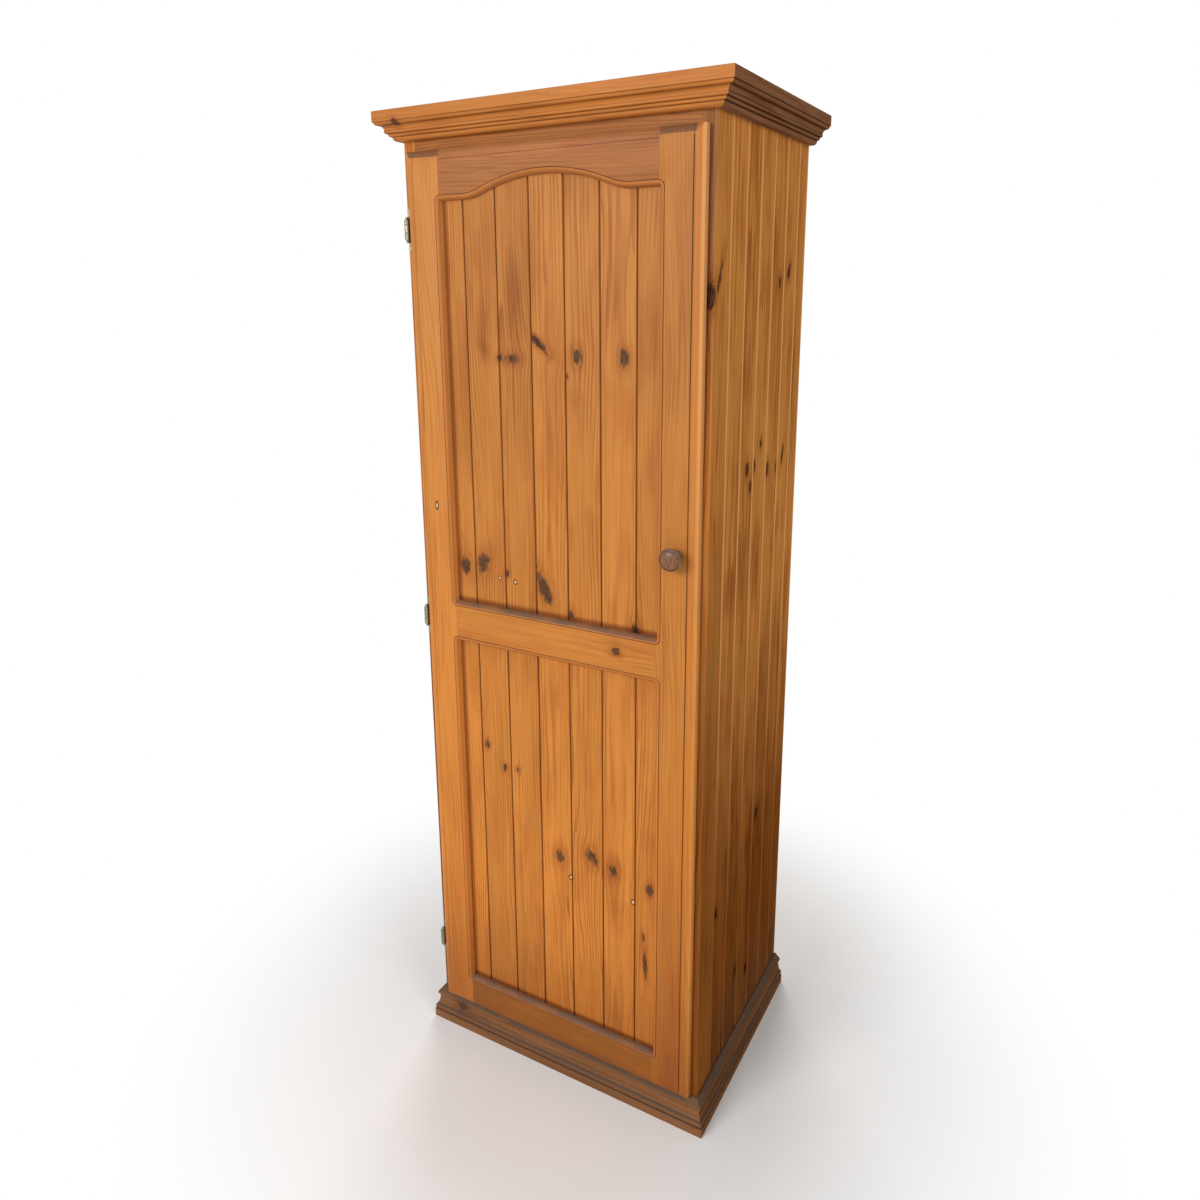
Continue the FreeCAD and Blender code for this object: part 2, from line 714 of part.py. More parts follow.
def opening_outline(foot, head, offset, arched):
    """A door opening grown by offset past its sight line.

    An arched head is a crown arc between two reverse arcs that run level into the
    shoulders: growing the opening widens the crown and tightens the reverses.
    """
    corner = f"(sticking_corner + {offset})"
    left = f"({DOOR_MIDDLE} - {SIGHT_HALF} - {offset})"
    right = f"({DOOR_MIDDLE} + {SIGHT_HALF} + {offset})"
    low = f"({foot} - {offset})"
    high = f"({head} + {offset})"
    steps = [(f"{right} - {corner}", low), (right, f"{low} + {corner}", corner, 1),
             (right, f"{high} - {corner}"), (f"{right} - {corner}", high, corner, 1)]
    if arched:
        both = "(crown_radius + reverse_radius)"
        crown = f"(crown_radius + {offset})"
        reverse = f"(reverse_radius - {offset})"
        foot_x = f"sqrt(arch_rise * (2 * {both} - arch_rise))"
        joint_x = f"({foot_x} * {crown} / {both})"
        joint_z = f"({high} + arch_rise - {crown} * arch_rise / {both})"
        steps += [(f"{DOOR_MIDDLE} + {foot_x}", high),
                  (f"{DOOR_MIDDLE} + {joint_x}", joint_z, reverse, -1),
                  (f"{DOOR_MIDDLE} - {joint_x}", joint_z, crown, 1),
                  (f"{DOOR_MIDDLE} - {foot_x}", high, reverse, -1)]
    steps += [(f"{left} + {corner}", high), (left, f"{high} - {corner}", corner, 1),
              (left, f"{low} + {corner}"), (f"{left} + {corner}", low, corner, 1)]
    return steps


def opening_tool(name, foot, head, arched):
    """What the cutter takes out of an opening: a fillet, an ovolo and the clear hole."""
    curve = "(sticking_width - sticking_fillet)"
    stations = [("sticking_width", "-overrun"), ("sticking_width", "sticking_fillet")]
    for step in range(STICKING_STEPS + 1):
        angle = math.pi / 2 * step / STICKING_STEPS
        inward = round(1 - math.sin(angle), 6)
        down = round(1 - math.cos(angle), 6)
        stations.append((f"{curve} * {inward}",
                         f"sticking_fillet * {FILLET_FALL_SHARE} + {curve} * {down}"))
    stations.append(("0", "door_thickness + overrun"))
    tool = doc.addObject("Part::Loft", name)
    tool.Sections = [
        loft_section(f"{name}_{number}", depth,
                     opening_outline(foot, head, f"({offset})", arched))
        for number, (offset, depth) in enumerate(stations)]
    tool.Solid = True
    tool.Ruled = True
    return tool


def edge_tool(name, side):
    """Waste along one outer edge of the door: a quirk and a shallow ovolo."""
    width = "edge_moulding_width"
    quirk = "edge_moulding_quirk"
    drop = "edge_moulding_drop"
    run = f"({width} - {quirk})"
    radius = f"({run} * {run} + {drop} * {drop}) / (2 * {drop})"
    profile = [(width, "-overrun"), (width, quirk), (run, quirk),
               ("0", f"{quirk} + {drop}", radius, -1),
               ("-overrun", f"{quirk} + {drop}"), ("-overrun", "-overrun")]
    edge, sense, upright = {
        "left": (DOOR_LEFT, 1, True),
        "right": (DOOR_RIGHT, -1, True),
        "bottom": (DOOR_FOOT, 1, False),
        "top": (DOOR_HEAD, -1, False),
    }[side]
    steps = []
    for step in profile:
        across = f"{edge} + {sense} * ({step[0]})"
        deep = f"{DOOR_FRONT_Y} + {step[1]}"
        place = (across, deep) if upright else (deep, across)
        turn = [step[2], step[3] * sense * (1 if upright else -1)] if len(step) > 2 else []
        steps.append((*place, *turn))
    body = new_body(name)
    if upright:
        add_pad(body, "XY", f"{DOOR_FOOT} - overrun",
                f"{DOOR_HEAD} - {DOOR_FOOT} + 2 * overrun", steps)
    else:
        add_pad(body, "YZ", f"{DOOR_LEFT} - overrun",
                f"{DOOR_RIGHT} - {DOOR_LEFT} + 2 * overrun", steps)
    return body


def bored(base, tools):
    """Cut each tool out of the base in turn."""
    for tool in tools:
        cut = doc.addObject("Part::Cut", f"{base.Name}_cut")
        cut.Base = base
        cut.Tool = tool
        base = cut
    return base


def labelled(thing, name):
    thing.Label = name
    return keep(thing)


def door_rail_heights():
    """Name, foot and head of each door rail at the sight lines."""
    return (("bottom", DOOR_FOOT, LOWER_FOOT),
            ("mid", LOWER_HEAD, UPPER_FOOT),
            ("top", UPPER_HEAD, DOOR_HEAD))


def door_stile_blank(name, edge, sight, side):
    """Upright of the door with its panel rebate and three mortises."""
    body = new_body(name)
    low, high = (edge, sight) if side == LEFT else (sight, edge)
    add_pad(body, "XY", DOOR_FOOT, f"{DOOR_HEAD} - {DOOR_FOOT}",
            rectangle(low, high, DOOR_FRONT_Y, DOOR_BACK_Y))
    outward = "+" if side == RIGHT else "-"
    inward = "-" if side == RIGHT else "+"

    def cut_from_sight(reach, low_y, high_y, foot, head):
        far = f"{sight} {outward} ({reach})"
        near = f"{sight} {inward} overrun"
        first, second = (near, far) if side == RIGHT else (far, near)
        add_pocket(body, "XY", foot, f"{head} - ({foot})",
                   rectangle(first, second, low_y, high_y))

    cut_from_sight("panel_rebate", PANEL_Y, f"{DOOR_BACK_Y} + overrun",
                   PANEL_FOOT, PANEL_HEAD)
    front = f"{DOOR_FRONT_Y} + door_tenon_setback"
    for _, foot, head in door_rail_heights():
        cut_from_sight(f"{DOOR_TENON} + tenon_clearance", front,
                       f"{front} + door_tenon_thickness",
                       f"{foot} + door_tenon_shoulder - tenon_clearance",
                       f"{head} - door_tenon_shoulder + tenon_clearance")
    return body


def door_rail_blank(name, foot, head, back):
    """Cross rail of the door with a tenon on each end."""
    body = new_body(name)
    left = f"({DOOR_MIDDLE} - {SIGHT_HALF})"
    right = f"({DOOR_MIDDLE} + {SIGHT_HALF})"
    add_pad(body, "XY", foot, f"{head} - {foot}",
            rectangle(left, right, DOOR_FRONT_Y, back))
    front = f"{DOOR_FRONT_Y} + door_tenon_setback"
    add_pad(body, "XY", f"{foot} + door_tenon_shoulder",
            f"{head} - {foot} - 2 * door_tenon_shoulder",
            rectangle(f"{left} - {DOOR_TENON}", f"{right} + {DOOR_TENON}",
                      front, f"{front} + door_tenon_thickness"))
    return body


def cut_rail_rebate(body, foot, head):
    """Rebate in a rail's back that takes the ends of the panel boards."""
    add_pocket(body, "XY", foot, f"{head} - {foot}",
               rectangle(f"{DOOR_MIDDLE} - {SIGHT_HALF} - overrun",
                         f"{DOOR_MIDDLE} + {SIGHT_HALF} + overrun",
                         PANEL_Y, f"{DOOR_BACK_Y} + overrun"))


def make_door_frame():
    """Stiles and rails, moulded after assembly by the same cutters."""
    upper = opening_tool("upper_opening", UPPER_FOOT, UPPER_HEAD, True)
    lower = opening_tool("lower_opening", LOWER_FOOT, LOWER_HEAD, False)
    edges = {side: edge_tool(f"{side}_edge_waste", side)
             for side in ("left", "right", "bottom", "top")}
    left_sight = f"({DOOR_MIDDLE} - {SIGHT_HALF})"
    right_sight = f"({DOOR_MIDDLE} + {SIGHT_HALF})"
    ends = [edges["bottom"], edges["top"]]

    hinge_stile = door_stile_blank("hinge_stile_blank", DOOR_LEFT, left_sight, LEFT)
    seats = [door_leaf_seat(word, height) for word, height in HINGE_HEIGHTS.items()]
    labelled(bored(hinge_stile, [upper, lower, edges["left"], *ends, *seats]),
             "door_hinge_stile")

    knob_stile = door_stile_blank("knob_stile_blank", DOOR_RIGHT, right_sight, RIGHT)
    labelled(bored(knob_stile, [upper, lower, edges["right"], *ends, knob_screw_hole()]),
             "door_knob_stile")

    rails = {name: (foot, head) for name, foot, head in door_rail_heights()}
    bottom = door_rail_blank("bottom_rail_blank", *rails["bottom"], DOOR_BACK_Y)
    cut_rail_rebate(bottom, PANEL_FOOT, f"{LOWER_FOOT} + overrun")
    labelled(bored(bottom, [lower, edges["bottom"]]), "door_bottom_rail")
    middle = door_rail_blank("mid_rail_blank", *rails["mid"], PANEL_Y)
    labelled(bored(middle, [upper, lower]), "door_mid_rail")
    top = door_rail_blank("top_rail_blank", *rails["top"], DOOR_BACK_Y)
    cut_rail_rebate(top, f"({UPPER_HEAD} - overrun)", PANEL_HEAD)
    labelled(bored(top, [upper, edges["top"]]), "door_top_rail")


def make_door_boards():
    """Full-height matched boards in the rebate, behind the middle rail."""
    span_half = f"({SIGHT_HALF} + panel_rebate - panel_clearance)"
    inner = DOOR_BOARDS - 2
    end_cover = f"({span_half} - {inner} * board_cover / 2)"
    thickness = "(door_thickness - panel_recess)"
    foot = f"({PANEL_FOOT} + panel_clearance)"
    for number in range(DOOR_BOARDS):
        first = number == 0
        last = number == DOOR_BOARDS - 1
        cover = end_cover if first or last else "board_cover"
        body = tongued_board(f"door_board_{number + 1}", thickness, cover,
                             f"{PANEL_HEAD} - panel_clearance - {foot}",
                             has_groove=not first, has_tongue=not last)
        start = f"{DOOR_MIDDLE} - {span_half}"
        if not first:
            start = f"{start} + {end_cover} + {number - 1} * board_cover"
        set_place(body, start, PANEL_Y, foot)
        keep(body)


def box(name, low, high):
    """A box between two corners, each given as three formulas."""
    solid = doc.addObject("Part::Box", name)
    for axis, side, start, end in zip("xyz", ("Length", "Width", "Height"), low, high):
        bind(solid, f"Placement.Base.{axis}", start)
        bind(solid, side, f"({end}) - ({start})")
    return solid


def upright_rod(name, radius, x, y, foot, height):
    solid = doc.addObject("Part::Cylinder", name)
    bind(solid, "Radius", radius)
    bind(solid, "Height", height)
    for axis, place in zip("xyz", (x, y, foot)):
        bind(solid, f"Placement.Base.{axis}", place)
    return solid


INTO_FRAME = 1
INTO_DOOR = -1


def point_along(thing, into, x, y, z):
    """Turn a thing made along Z so that it points into the frame or into the door."""
    turn = FreeCAD.Rotation(FreeCAD.Vector(1, 0, 0), -90 * into)
    thing.Placement = FreeCAD.Placement(FreeCAD.Vector(), turn)
    for axis, place in zip("xyz", (x, y, z)):
        bind(thing, f"Placement.Base.{axis}", place)


def door_leaf_seat(word, height):
    """Shallow mortise in the door's back that the door leaf lies in."""
    half = "(door_leaf_height / 2 + leaf_clearance)"
    return box(f"{word}_leaf_seat",
               (f"{DOOR_LEFT} - overrun", f"{DOOR_LEAF_FRONT_Y} - leaf_clearance / 3",
                f"{height} - {half}"),
               (f"{DOOR_LEAF_LEFT} + door_leaf_width + leaf_clearance",
                f"{DOOR_BACK_Y} + overrun", f"{height} + {half}"))


def turned(body, steps):
    """Revolve an outline, given as radius and height, about the body's Z axis."""
    sketch = new_sketch(body, "XZ", "0", steps)
    revolution = body.newObject("PartDesign::Revolution", f"{body.Name}_turning")
    revolution.Profile = sketch
    axis = [item for item in body.Origin.OriginFeatures if item.Role == "Z_Axis"][0]
    revolution.ReferenceAxis = (axis, [""])
    revolution.Angle = 360
    return revolution


def make_hinge(word, height):
    """Frame leaf with the end knuckles, door leaf with the middle one."""
    plate = box(f"{word}_frame_plate",
                (LEAF_LEFT, f"{FACE_Y} - leaf_thickness", f"{height} - leaf_height / 2"),
                (f"{LEAF_LEFT} + leaf_width", FACE_Y, f"{height} + leaf_height / 2"))
    low = upright_rod(f"{word}_low_knuckle", "knuckle_radius", HINGE_X, HINGE_Y,
                      f"{height} - {BARREL_HALF}", "knuckle_length")
    high = upright_rod(f"{word}_high_knuckle", "knuckle_radius", HINGE_X, HINGE_Y,
                       f"{height} + {MIDDLE_GAP}", "knuckle_length")
    leaf = doc.addObject("Part::MultiFuse", f"{word}_frame_leaf_blank")
    leaf.Shapes = [plate, low, high]
    notch = box(f"{word}_leaf_notch",
                (f"{LEAF_LEFT} - overrun", f"{FACE_Y} - leaf_thickness - knuckle_radius",
                 f"{height} - {MIDDLE_GAP}"),
                (f"{HINGE_X} + knuckle_radius - leaf_clearance", f"{FACE_Y} + overrun",
                 f"{height} + {MIDDLE_GAP}"))
    bore = upright_rod(f"{word}_pin_hole", "pin_radius", HINGE_X, HINGE_Y,
                       f"{height} - {BARREL_HALF} - overrun", f"2 * ({BARREL_HALF} + overrun)")
    labelled(bored(leaf, [notch, bore]), f"{word}_frame_leaf")

    door_back = f"{DOOR_LEAF_FRONT_Y} + leaf_thickness"
    tab = box(f"{word}_door_tab",
              (HINGE_X, DOOR_LEAF_FRONT_Y, f"{height} - middle_knuckle_length / 2"),
              (f"{DOOR_LEAF_LEFT} + leaf_clearance", door_back,
               f"{height} + middle_knuckle_length / 2"))
    wing = box(f"{word}_door_wing",
               (DOOR_LEAF_LEFT, DOOR_LEAF_FRONT_Y, f"{height} - door_leaf_height / 2"),
               (f"{DOOR_LEAF_LEFT} + door_leaf_width", door_back,
                f"{height} + door_leaf_height / 2"))
    middle = upright_rod(f"{word}_middle_knuckle", "knuckle_radius", HINGE_X, HINGE_Y,
                         f"{height} - middle_knuckle_length / 2", "middle_knuckle_length")
    leaf = doc.addObject("Part::MultiFuse", f"{word}_door_leaf_blank")
    leaf.Shapes = [tab, wing, middle]
    running = upright_rod(f"{word}_running_hole", "pin_radius + pin_clearance",
                          HINGE_X, HINGE_Y, f"{height} - {MIDDLE_GAP}", f"2 * {MIDDLE_GAP}")
    labelled(bored(leaf, [running]), f"{word}_door_leaf")


def make_hinge_pins():
    """Pins that fill the barrels from end to end."""
    keep(group("hinge_pins", [
        upright_rod(f"{word}_hinge_pin", "pin_radius", HINGE_X, HINGE_Y,
                    f"{height} - {BARREL_HALF}", f"2 * {BARREL_HALF}")
        for word, height in HINGE_HEIGHTS.items()]))


def knob_screw_hole():
    """Clearance hole through the knob stile for the knob's screw."""
    rod = doc.addObject("Part::Cylinder", "knob_screw_hole")
    bind(rod, "Radius", "knob_screw_radius + knob_screw_clearance")
    bind(rod, "Height", "door_thickness + 2 * overrun")
    point_along(rod, INTO_FRAME, KNOB_X, f"{DOOR_FRONT_Y} - overrun", "knob_height")
    return rod


def make_knob():
    """Turned wooden mushroom knob and the screw that holds it from behind."""
    body = new_body("knob_blank")
    rim = "knob_diameter / 2"
    crown = "knob_crown_diameter / 2"
    steps = [
        ("0", "0"),
        ("knob_foot_diameter / 2", "0"),
        ("knob_foot_diameter / 2", "knob_foot_height"),
        ("knob_neck_diameter / 2", "knob_foot_height"),
        ("knob_neck_diameter / 2", "knob_neck_height"),
        (rim, "knob_rim_height"),
        (rim, "knob_rim_height + knob_rim_thickness"),
        (crown, "knob_projection"),
        ("0", "knob_projection"),
    ]
    turned(body, steps)
    point_along(body, INTO_DOOR, KNOB_X, DOOR_FRONT_Y, "knob_height")
    rod = doc.addObject("Part::Cylinder", "knob_bore")
    bind(rod, "Radius", "knob_screw_radius")
    bind(rod, "Height", "knob_screw_length - door_thickness + overrun")
    point_along(rod, INTO_DOOR, KNOB_X, f"{DOOR_FRONT_Y} + overrun", "knob_height")
    labelled(bored(body, [rod]), "knob")
    screw = new_body("knob_screw")
    steps = [
        ("0", "0"),
        ("knob_screw_radius", "0"),
        ("knob_screw_radius", "knob_screw_length"),
        ("knob_screw_head_radius", "knob_screw_length"),
        ("knob_screw_head_radius", "knob_screw_length + knob_screw_head_height"),
        ("0", "knob_screw_length + knob_screw_head_height"),
    ]
    turned(screw, steps)
    point_along(screw, INTO_FRAME, KNOB_X, f"{DOOR_BACK_Y} - knob_screw_length",
                "knob_height")
    keep(screw)


def make_catch():
    """Magnetic catch on the knob-side stile and its plate on the door's back."""
    inner = f"({HALF_WIDTH} - face_stile_width)"
    front = f"({DOOR_BACK_Y} + catch_plate_thickness + catch_clearance)"
    body = new_body("catch_body")
    half = "catch_height / 2"
    add_pad(body, "XY", f"{CATCH_Z} - {half}", "catch_height",
            rectangle(f"{inner} - catch_width", inner, front, f"{front} + catch_depth"))
    keep(body)
    plate = new_body("catch_plate")
    middle = f"({inner} - catch_width / 2)"
    add_pad(plate, "XY", f"{CATCH_Z} - catch_plate_height / 2", "catch_plate_height",
            rectangle(f"{middle} - catch_plate_width / 2", f"{middle} + catch_plate_width / 2",
                      DOOR_BACK_Y, f"{DOOR_BACK_Y} + catch_plate_thickness"))
    keep(plate)


def check_and_write():
    """Stop on any failed object, then write one file per sub-part."""
    doc.recompute()
    for thing in doc.Objects:
        if "Invalid" in thing.State or "Error" in thing.State:
            raise RuntimeError(f"{thing.Label}: {thing.State}")
    for node in nodes:
        shape = node.Shape
        if shape.isNull() or not shape.isValid() or not shape.Solids:
            raise RuntimeError(f"{node.Label}: no valid solid")
    os.makedirs("parts", exist_ok=True)
    for node in nodes:
        node.Shape.exportStep(f"parts/{node.Label}.step")
    print(f"{len(nodes)} sub-parts written")


def main():
    fill_sheet()
    make_face_frame()
    make_side_boards()
    make_back_boards()
    make_rear_posts()
    make_panels_and_shelves()
    make_battens()
    make_moulding("cornice", cornice_profile(), CORNICE_OVERHANG, CORNICE_FOOT_Z,
                  CORNICE_HEIGHT)
    make_cornice_blocks()
    make_moulding("plinth", plinth_profile(), "plinth_overhang", "0", "plinth_height")
    make_door_frame()
    make_door_boards()
    for word, height in HINGE_HEIGHTS.items():
        make_hinge(word, height)
    make_hinge_pins()
    make_knob()
    make_catch()
    check_and_write()


main()
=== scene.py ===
"""Looks of a tall pine cupboard: one panelled door, matched-board sides, cornice and plinth."""

import json
from math import cos, radians, sin, tau

import bmesh
import bpy
import numpy as np
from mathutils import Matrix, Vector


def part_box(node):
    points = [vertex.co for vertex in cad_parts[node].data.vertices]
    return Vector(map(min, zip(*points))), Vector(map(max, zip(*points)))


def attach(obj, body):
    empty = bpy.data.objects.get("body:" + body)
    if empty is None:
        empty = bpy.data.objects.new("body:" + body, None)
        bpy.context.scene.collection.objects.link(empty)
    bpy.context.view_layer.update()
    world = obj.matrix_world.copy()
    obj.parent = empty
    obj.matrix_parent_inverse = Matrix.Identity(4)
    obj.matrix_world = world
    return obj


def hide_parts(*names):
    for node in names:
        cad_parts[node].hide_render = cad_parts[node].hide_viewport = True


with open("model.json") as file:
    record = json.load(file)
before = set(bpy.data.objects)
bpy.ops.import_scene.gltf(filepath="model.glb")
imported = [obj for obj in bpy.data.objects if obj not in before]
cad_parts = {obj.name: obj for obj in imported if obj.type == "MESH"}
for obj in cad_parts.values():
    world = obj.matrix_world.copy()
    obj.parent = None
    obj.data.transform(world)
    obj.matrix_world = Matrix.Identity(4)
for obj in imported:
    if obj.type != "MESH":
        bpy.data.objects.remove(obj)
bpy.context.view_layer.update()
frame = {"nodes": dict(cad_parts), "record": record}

bl_info = {
    "name": "Pine Cupboard",
    "version": (1, 0, 0),
    "blender": (4, 5, 0),
    "location": "3D View > Sidebar > Cupboard",
    "description": "Dresses the pieces of a panelled pine cupboard",
    "category": "Object",
}

MM = 0.001
NODE_BODY = {node: body for body, nodes in frame["record"]["behaviour"]["bodies"].items()
             for node in nodes}
AXES = {"x": 0, "y": 1, "z": 2}

# Camera, in millimetres and degrees
IMAGE_SIZE = 1200
CAMERA_PLACE = (858.4, -1583.5, 1578.4)
CAMERA_TURN = (76.574, 0.574, 29.912)
FOCAL_PIXELS = 932.5
CENTRE_PIXEL = (581.6, 510.6)
SENSOR_WIDTH = 36.0
# Soft boxes, each as place, point it faces, side length and power
LIGHTS = {
    "key": ((-1.1, -3.9, 2.7), (0.0, -0.2, 0.8), 2.0, 100.0),
    "fill": ((2.9, -1.5, 3.0), (0.3, 0.0, 1.6), 1.6, 30.0),
    "back": ((-1.5, 3.2, 2.6), (0.0, 0.2, 1.0), 2.0, 60.0),
}
FLOOR_HALF = 30.0
WHITE = (1.0, 1.0, 1.0)

# Knots of the door's boards, as (x, z, radius, turn in degrees, squash along the grain)
DOOR_KNOTS = (
    (-98, 1460, 6, 0, 1.0), (-72, 1459, 14, 3, 1.75), (-20, 1489, 6.5, 52, 0.26),
    (60, 1466, 8.5), (40, 1433, 3), (149, 1466, 8.5), (-191, 1065, 10.5),
    (-150, 1075, 12, -20, 0.6), (-96, 1062, 4.5), (-13, 1043, 10.5, 24, 0.36), (41, 1004, 7),
    (172, 995, 9), (-155, 700, 5), (-115, 658, 5.5), (-84, 662, 4), (9, 500, 10),
    (81, 523, 11.5, 30, 0.7), (126, 508, 10), (203, 493, 6.5), (194, 329, 4, 4, 0.16),
    (190, 388, 2.4, 4, 0.3),
)
MID_RAIL_KNOTS = ((138, 956, 8, 0, 0.9),)
CORNICE_KNOTS = ((-289, 1864, 5, 0, 0.8),)
PLINTH_KNOTS = ((-248, 47, 12, 0, 0.9),)
BACK_KNOTS = ((-190, 1480, 9), (-60, 820, 8), (70, 1240, 7), (205, 420, 9), (130, 1650, 8))
# Knots of the boards at the right and at the left and of the corner post, as (y, z, radius)
RIGHT_KNOTS = (
    (162, 1604, 8, -20, 0.4), (111, 1585, 6), (38, 1300, 6), (-32, 1262, 8), (5, 1261, 6),
    (77, 1245, 8), (130, 1240, 6), (164, 1258, 6, -14, 0.3), (-13, 1228, 7), (87, 523, 10),
    (-128, 422, 8), (-9, 213, 8), (53, 173, 7),
)
LEFT_KNOTS = (
    (-104, 1510, 8), (-30, 640, 9), (22, 1120, 7), (98, 1655, 8), (96, 330, 7),
    (170, 905, 9), (222, 1330, 6), (-35, 1380, 6),
)
CORNER_KNOTS = ((-207, 1566, 12, 0, 0.6), (-182, 1592, 6, -20, 0.2))
# Knots of the shelves, as (y, x, radius)
SHELF_KNOTS = ((-110, -60, 9), (40, 120, 8), (190, 10, 9))
# Turn and squash of a knot whose row gives none
KNOT_TURN_AND_SQUASH = (0.0, 0.62)
# Soft marks, as (x or y, z, half width, half height, turn, depth)
DOOR_STAINS = (
    (-132, 1500, 26, 80, 0, 0.55), (-66, 1560, 24, 120, 0, 0.65), (-22, 1495, 9, 32, 54, 1.0),
    (-14, 1482, 6, 26, 50, 0.9), (-2, 1470, 4, 12, 40, 1.0), (-132, 1475, 18, 40, 24, 0.5),
    (205, 1500, 12, 80, 0, 0.45), (60, 1390, 26, 60, 20, 0.22), (26, 397, 4.5, 38, 4, 1.0),
    (130, 690, 12, 110, 0, 0.16), (-60, 900, 16, 160, 0, 0.14), (172, 700, 9, 200, 0, 0.16),
)
# Painted shade on the door's stiles, low on both and high on the knob stile
HINGE_STILE_PAINTED_SHADE = ((-247, 250, 50, 520, 0, 0.35),)
KNOB_STILE_PAINTED_SHADE = ((250, 220, 55, 620, 0, 0.6), (262, 1640, 30, 240, 0, 0.3))
# Painted shadow down the front of the corner posts, beside the door
CORNER_PAINTED_SHADOW = ((-214, 1560, 15, 560, 0, 0.95),)
# Pale plugs, as (x, z, radius, height over width), with the usual height where none is given
DOOR_PLUGS = ((-113, 1051, 3.4), (-78, 1048, 3.8), (33.5, 463, 4.4), (168.5, 456, 4.4))
STILE_PLUGS = ((-246, 1179, 3.4, 2.2),)
PLUG_HEIGHT = 1.15
# A plug's dark ring and its pale face, as (size over radius, hard inner share, colour)
PLUG_LAYERS = ((1.5, 0.7, (0.13, 0.05, 0.02)), (0.8, 0.6, (0.68, 0.42, 0.22)))
# Heights of the hollows in the cornice and the plinth, where painted shade darkens the wood
CORNICE_HOLLOWS = (1866.2, 1860.6, 1853.0, 1848.0, 1842.6)
PLINTH_HOLLOWS = (55.6, 30.6, 19.4)
# Joints and fine lines, as (name of their colour, width, depth)
# Board joints and the quirk lines round the door's mouldings are dark with grime and painted
# shade
BOARD_JOINT = ("groove", 2.0, 0.85)
# The joints of the side boards and posts are drawn as a pale painted highlight on the chamfer
# facing the light
HIGHLIGHT_JOINT = ("worn", 4.4, 1.0)
BACK_JOINT = ("back_joint", 1.6, 0.85)
STILE_LINE = ("groove", 1.3, 0.75)
RAIL_LINE = ("groove", 1.3, 0.6)
END_LINE = ("groove", 0.7, 0.5)
HOLLOW_WIDTH = 1.1
# Width and depth of the painted shade, with some grime, at the feet and sides of the door's
# panels
CORNER_SHADE_WIDTH = 13.0
CORNER_SHADE_DEPTH = 0.85
# Sizes that the frame's pieces have, in millimetres
HALF_WIDTH = 300.0
TONGUE = 5.0
EDGE_MOULDING = 17.0
SIGHT_CORNER = 1.0
CROWN_RADIUS = 330.0
CROWN_RISE = 32.0
REVERSE_RADIUS = 100.0

# Tones that multiply the colour of the wood; the hollow, corner and upper ones are painted shade
DARK_MARK_TONE = (0.60, 0.46, 0.46)
BLUSH_DYE = (0.80, 0.64, 0.60)
VEIN_DYE = (0.70, 0.56, 0.46)
HALO_DYE = (0.66, 0.52, 0.46)
HOLLOW_SHADE = (0.30, 0.24, 0.22)
CORNER_SHADE_AND_GRIME = (0.38, 0.24, 0.15)
# Painted shade high on the front of the right post, beside the door
UPPER_PAINTED_SHADE = (0.62, 0.72, 1.3)
# Painted light and shade that change slowly with height, as (height where it is full, height
# where it ends, dye), in metres:
# the door lighter and warmer lower down and darker at its foot, the posts and sides darker
# towards the floor
FRONT_PAINTED_LIGHT = ((0.3, 1.7, (1.27, 1.17, 0.82)), (0.02, 0.42, (0.64, 0.56, 0.42)))
POST_PAINTED_SHADE = ((0.3, 1.6, (0.43, 0.37, 0.31)),)
SIDE_PAINTED_SHADE = ((0.3, 1.15, (0.36, 0.27, 0.19)), (0.06, 0.34, (0.80, 0.98, 1.7)))
# Heights between which the painted shade on a post and the painted highlight on the door's rim
# grow, in metres
SHADE_HEIGHTS = (1.3, 1.75)
RIM_HIGHLIGHT_HEIGHTS = (0.7, 1.5)
# Where that rim's painted highlight turns warm and pale, as (place where it begins, place where
# it is full)
RIM_WARM_HIGHLIGHT = (15.0, 12.0)
RIM_PALE_HIGHLIGHT = (7.0, 3.0)
# Other colours, and the ring in the knob's face
KNOT_HEART = (0.080, 0.036, 0.017)
# Painted highlight on the door's free edge
RIM_HIGHLIGHT_ORANGE = (0.58, 0.19, 0.038)
RING_SHADE = (0.045, 0.018, 0.010)
RING_RADIUS = 17.0
RING_WIDTH = 1.5
KNOB_DUST = (0.15, 0.085, 0.062)
BRASS_STAIN = (0.17, 0.15, 0.09)
# Painted shade on the hinge leaves in the gap beside the knuckles, from this distance past the
# pin
BRASS_PAINTED_SHADE = (0.06, 0.035, 0.018)
BRASS_SHADE_FROM_PIN = 4.5
DARK_BRASS = (0.16, 0.13, 0.07)
DARK_BRASS_STAIN = (0.03, 0.025, 0.012)
STEEL_STAIN = (0.35, 0.34, 0.32)

# Turned profiles, as (radius, distance from the foot), in millimetres
KNOB_PROFILE = (
    (12.0, 0.0), (12.45, 0.7), (12.45, 2.9), (11.4, 3.9), (9.3, 5.0), (8.8, 7.6), (9.4, 10.6),
    (12.4, 14.5), (16.2, 18.5), (18.9, 21.2), (19.9, 23.4), (19.5, 25.6), (18.4, 26.9),
    (17.3, 27.3), (16.7, 27.1), (16.0, 27.6), (13.4, 29.6), (9.0, 31.1), (4.5, 31.7),
    (0.6, 31.9),
)
PIN_END_PROFILE = ((2.0, 0.0), (3.9, 0.2), (4.1, 1.0), (3.7, 1.9), (2.9, 2.3), (3.4, 3.2),
                   (3.1, 4.8), (1.8, 5.7), (0.3, 6.0))
# Screws of a hinge, as (x, height over and under the middle of its leaf)
FRAME_SCREWS = ((-283.0, 31.0), (-289.0, 24.0))
DOOR_SCREW = (-270.0, 15.0)
HALF_BARREL = 17.0
SCREW_RADIUS = 2.5


# Sizes and colours that a user would change

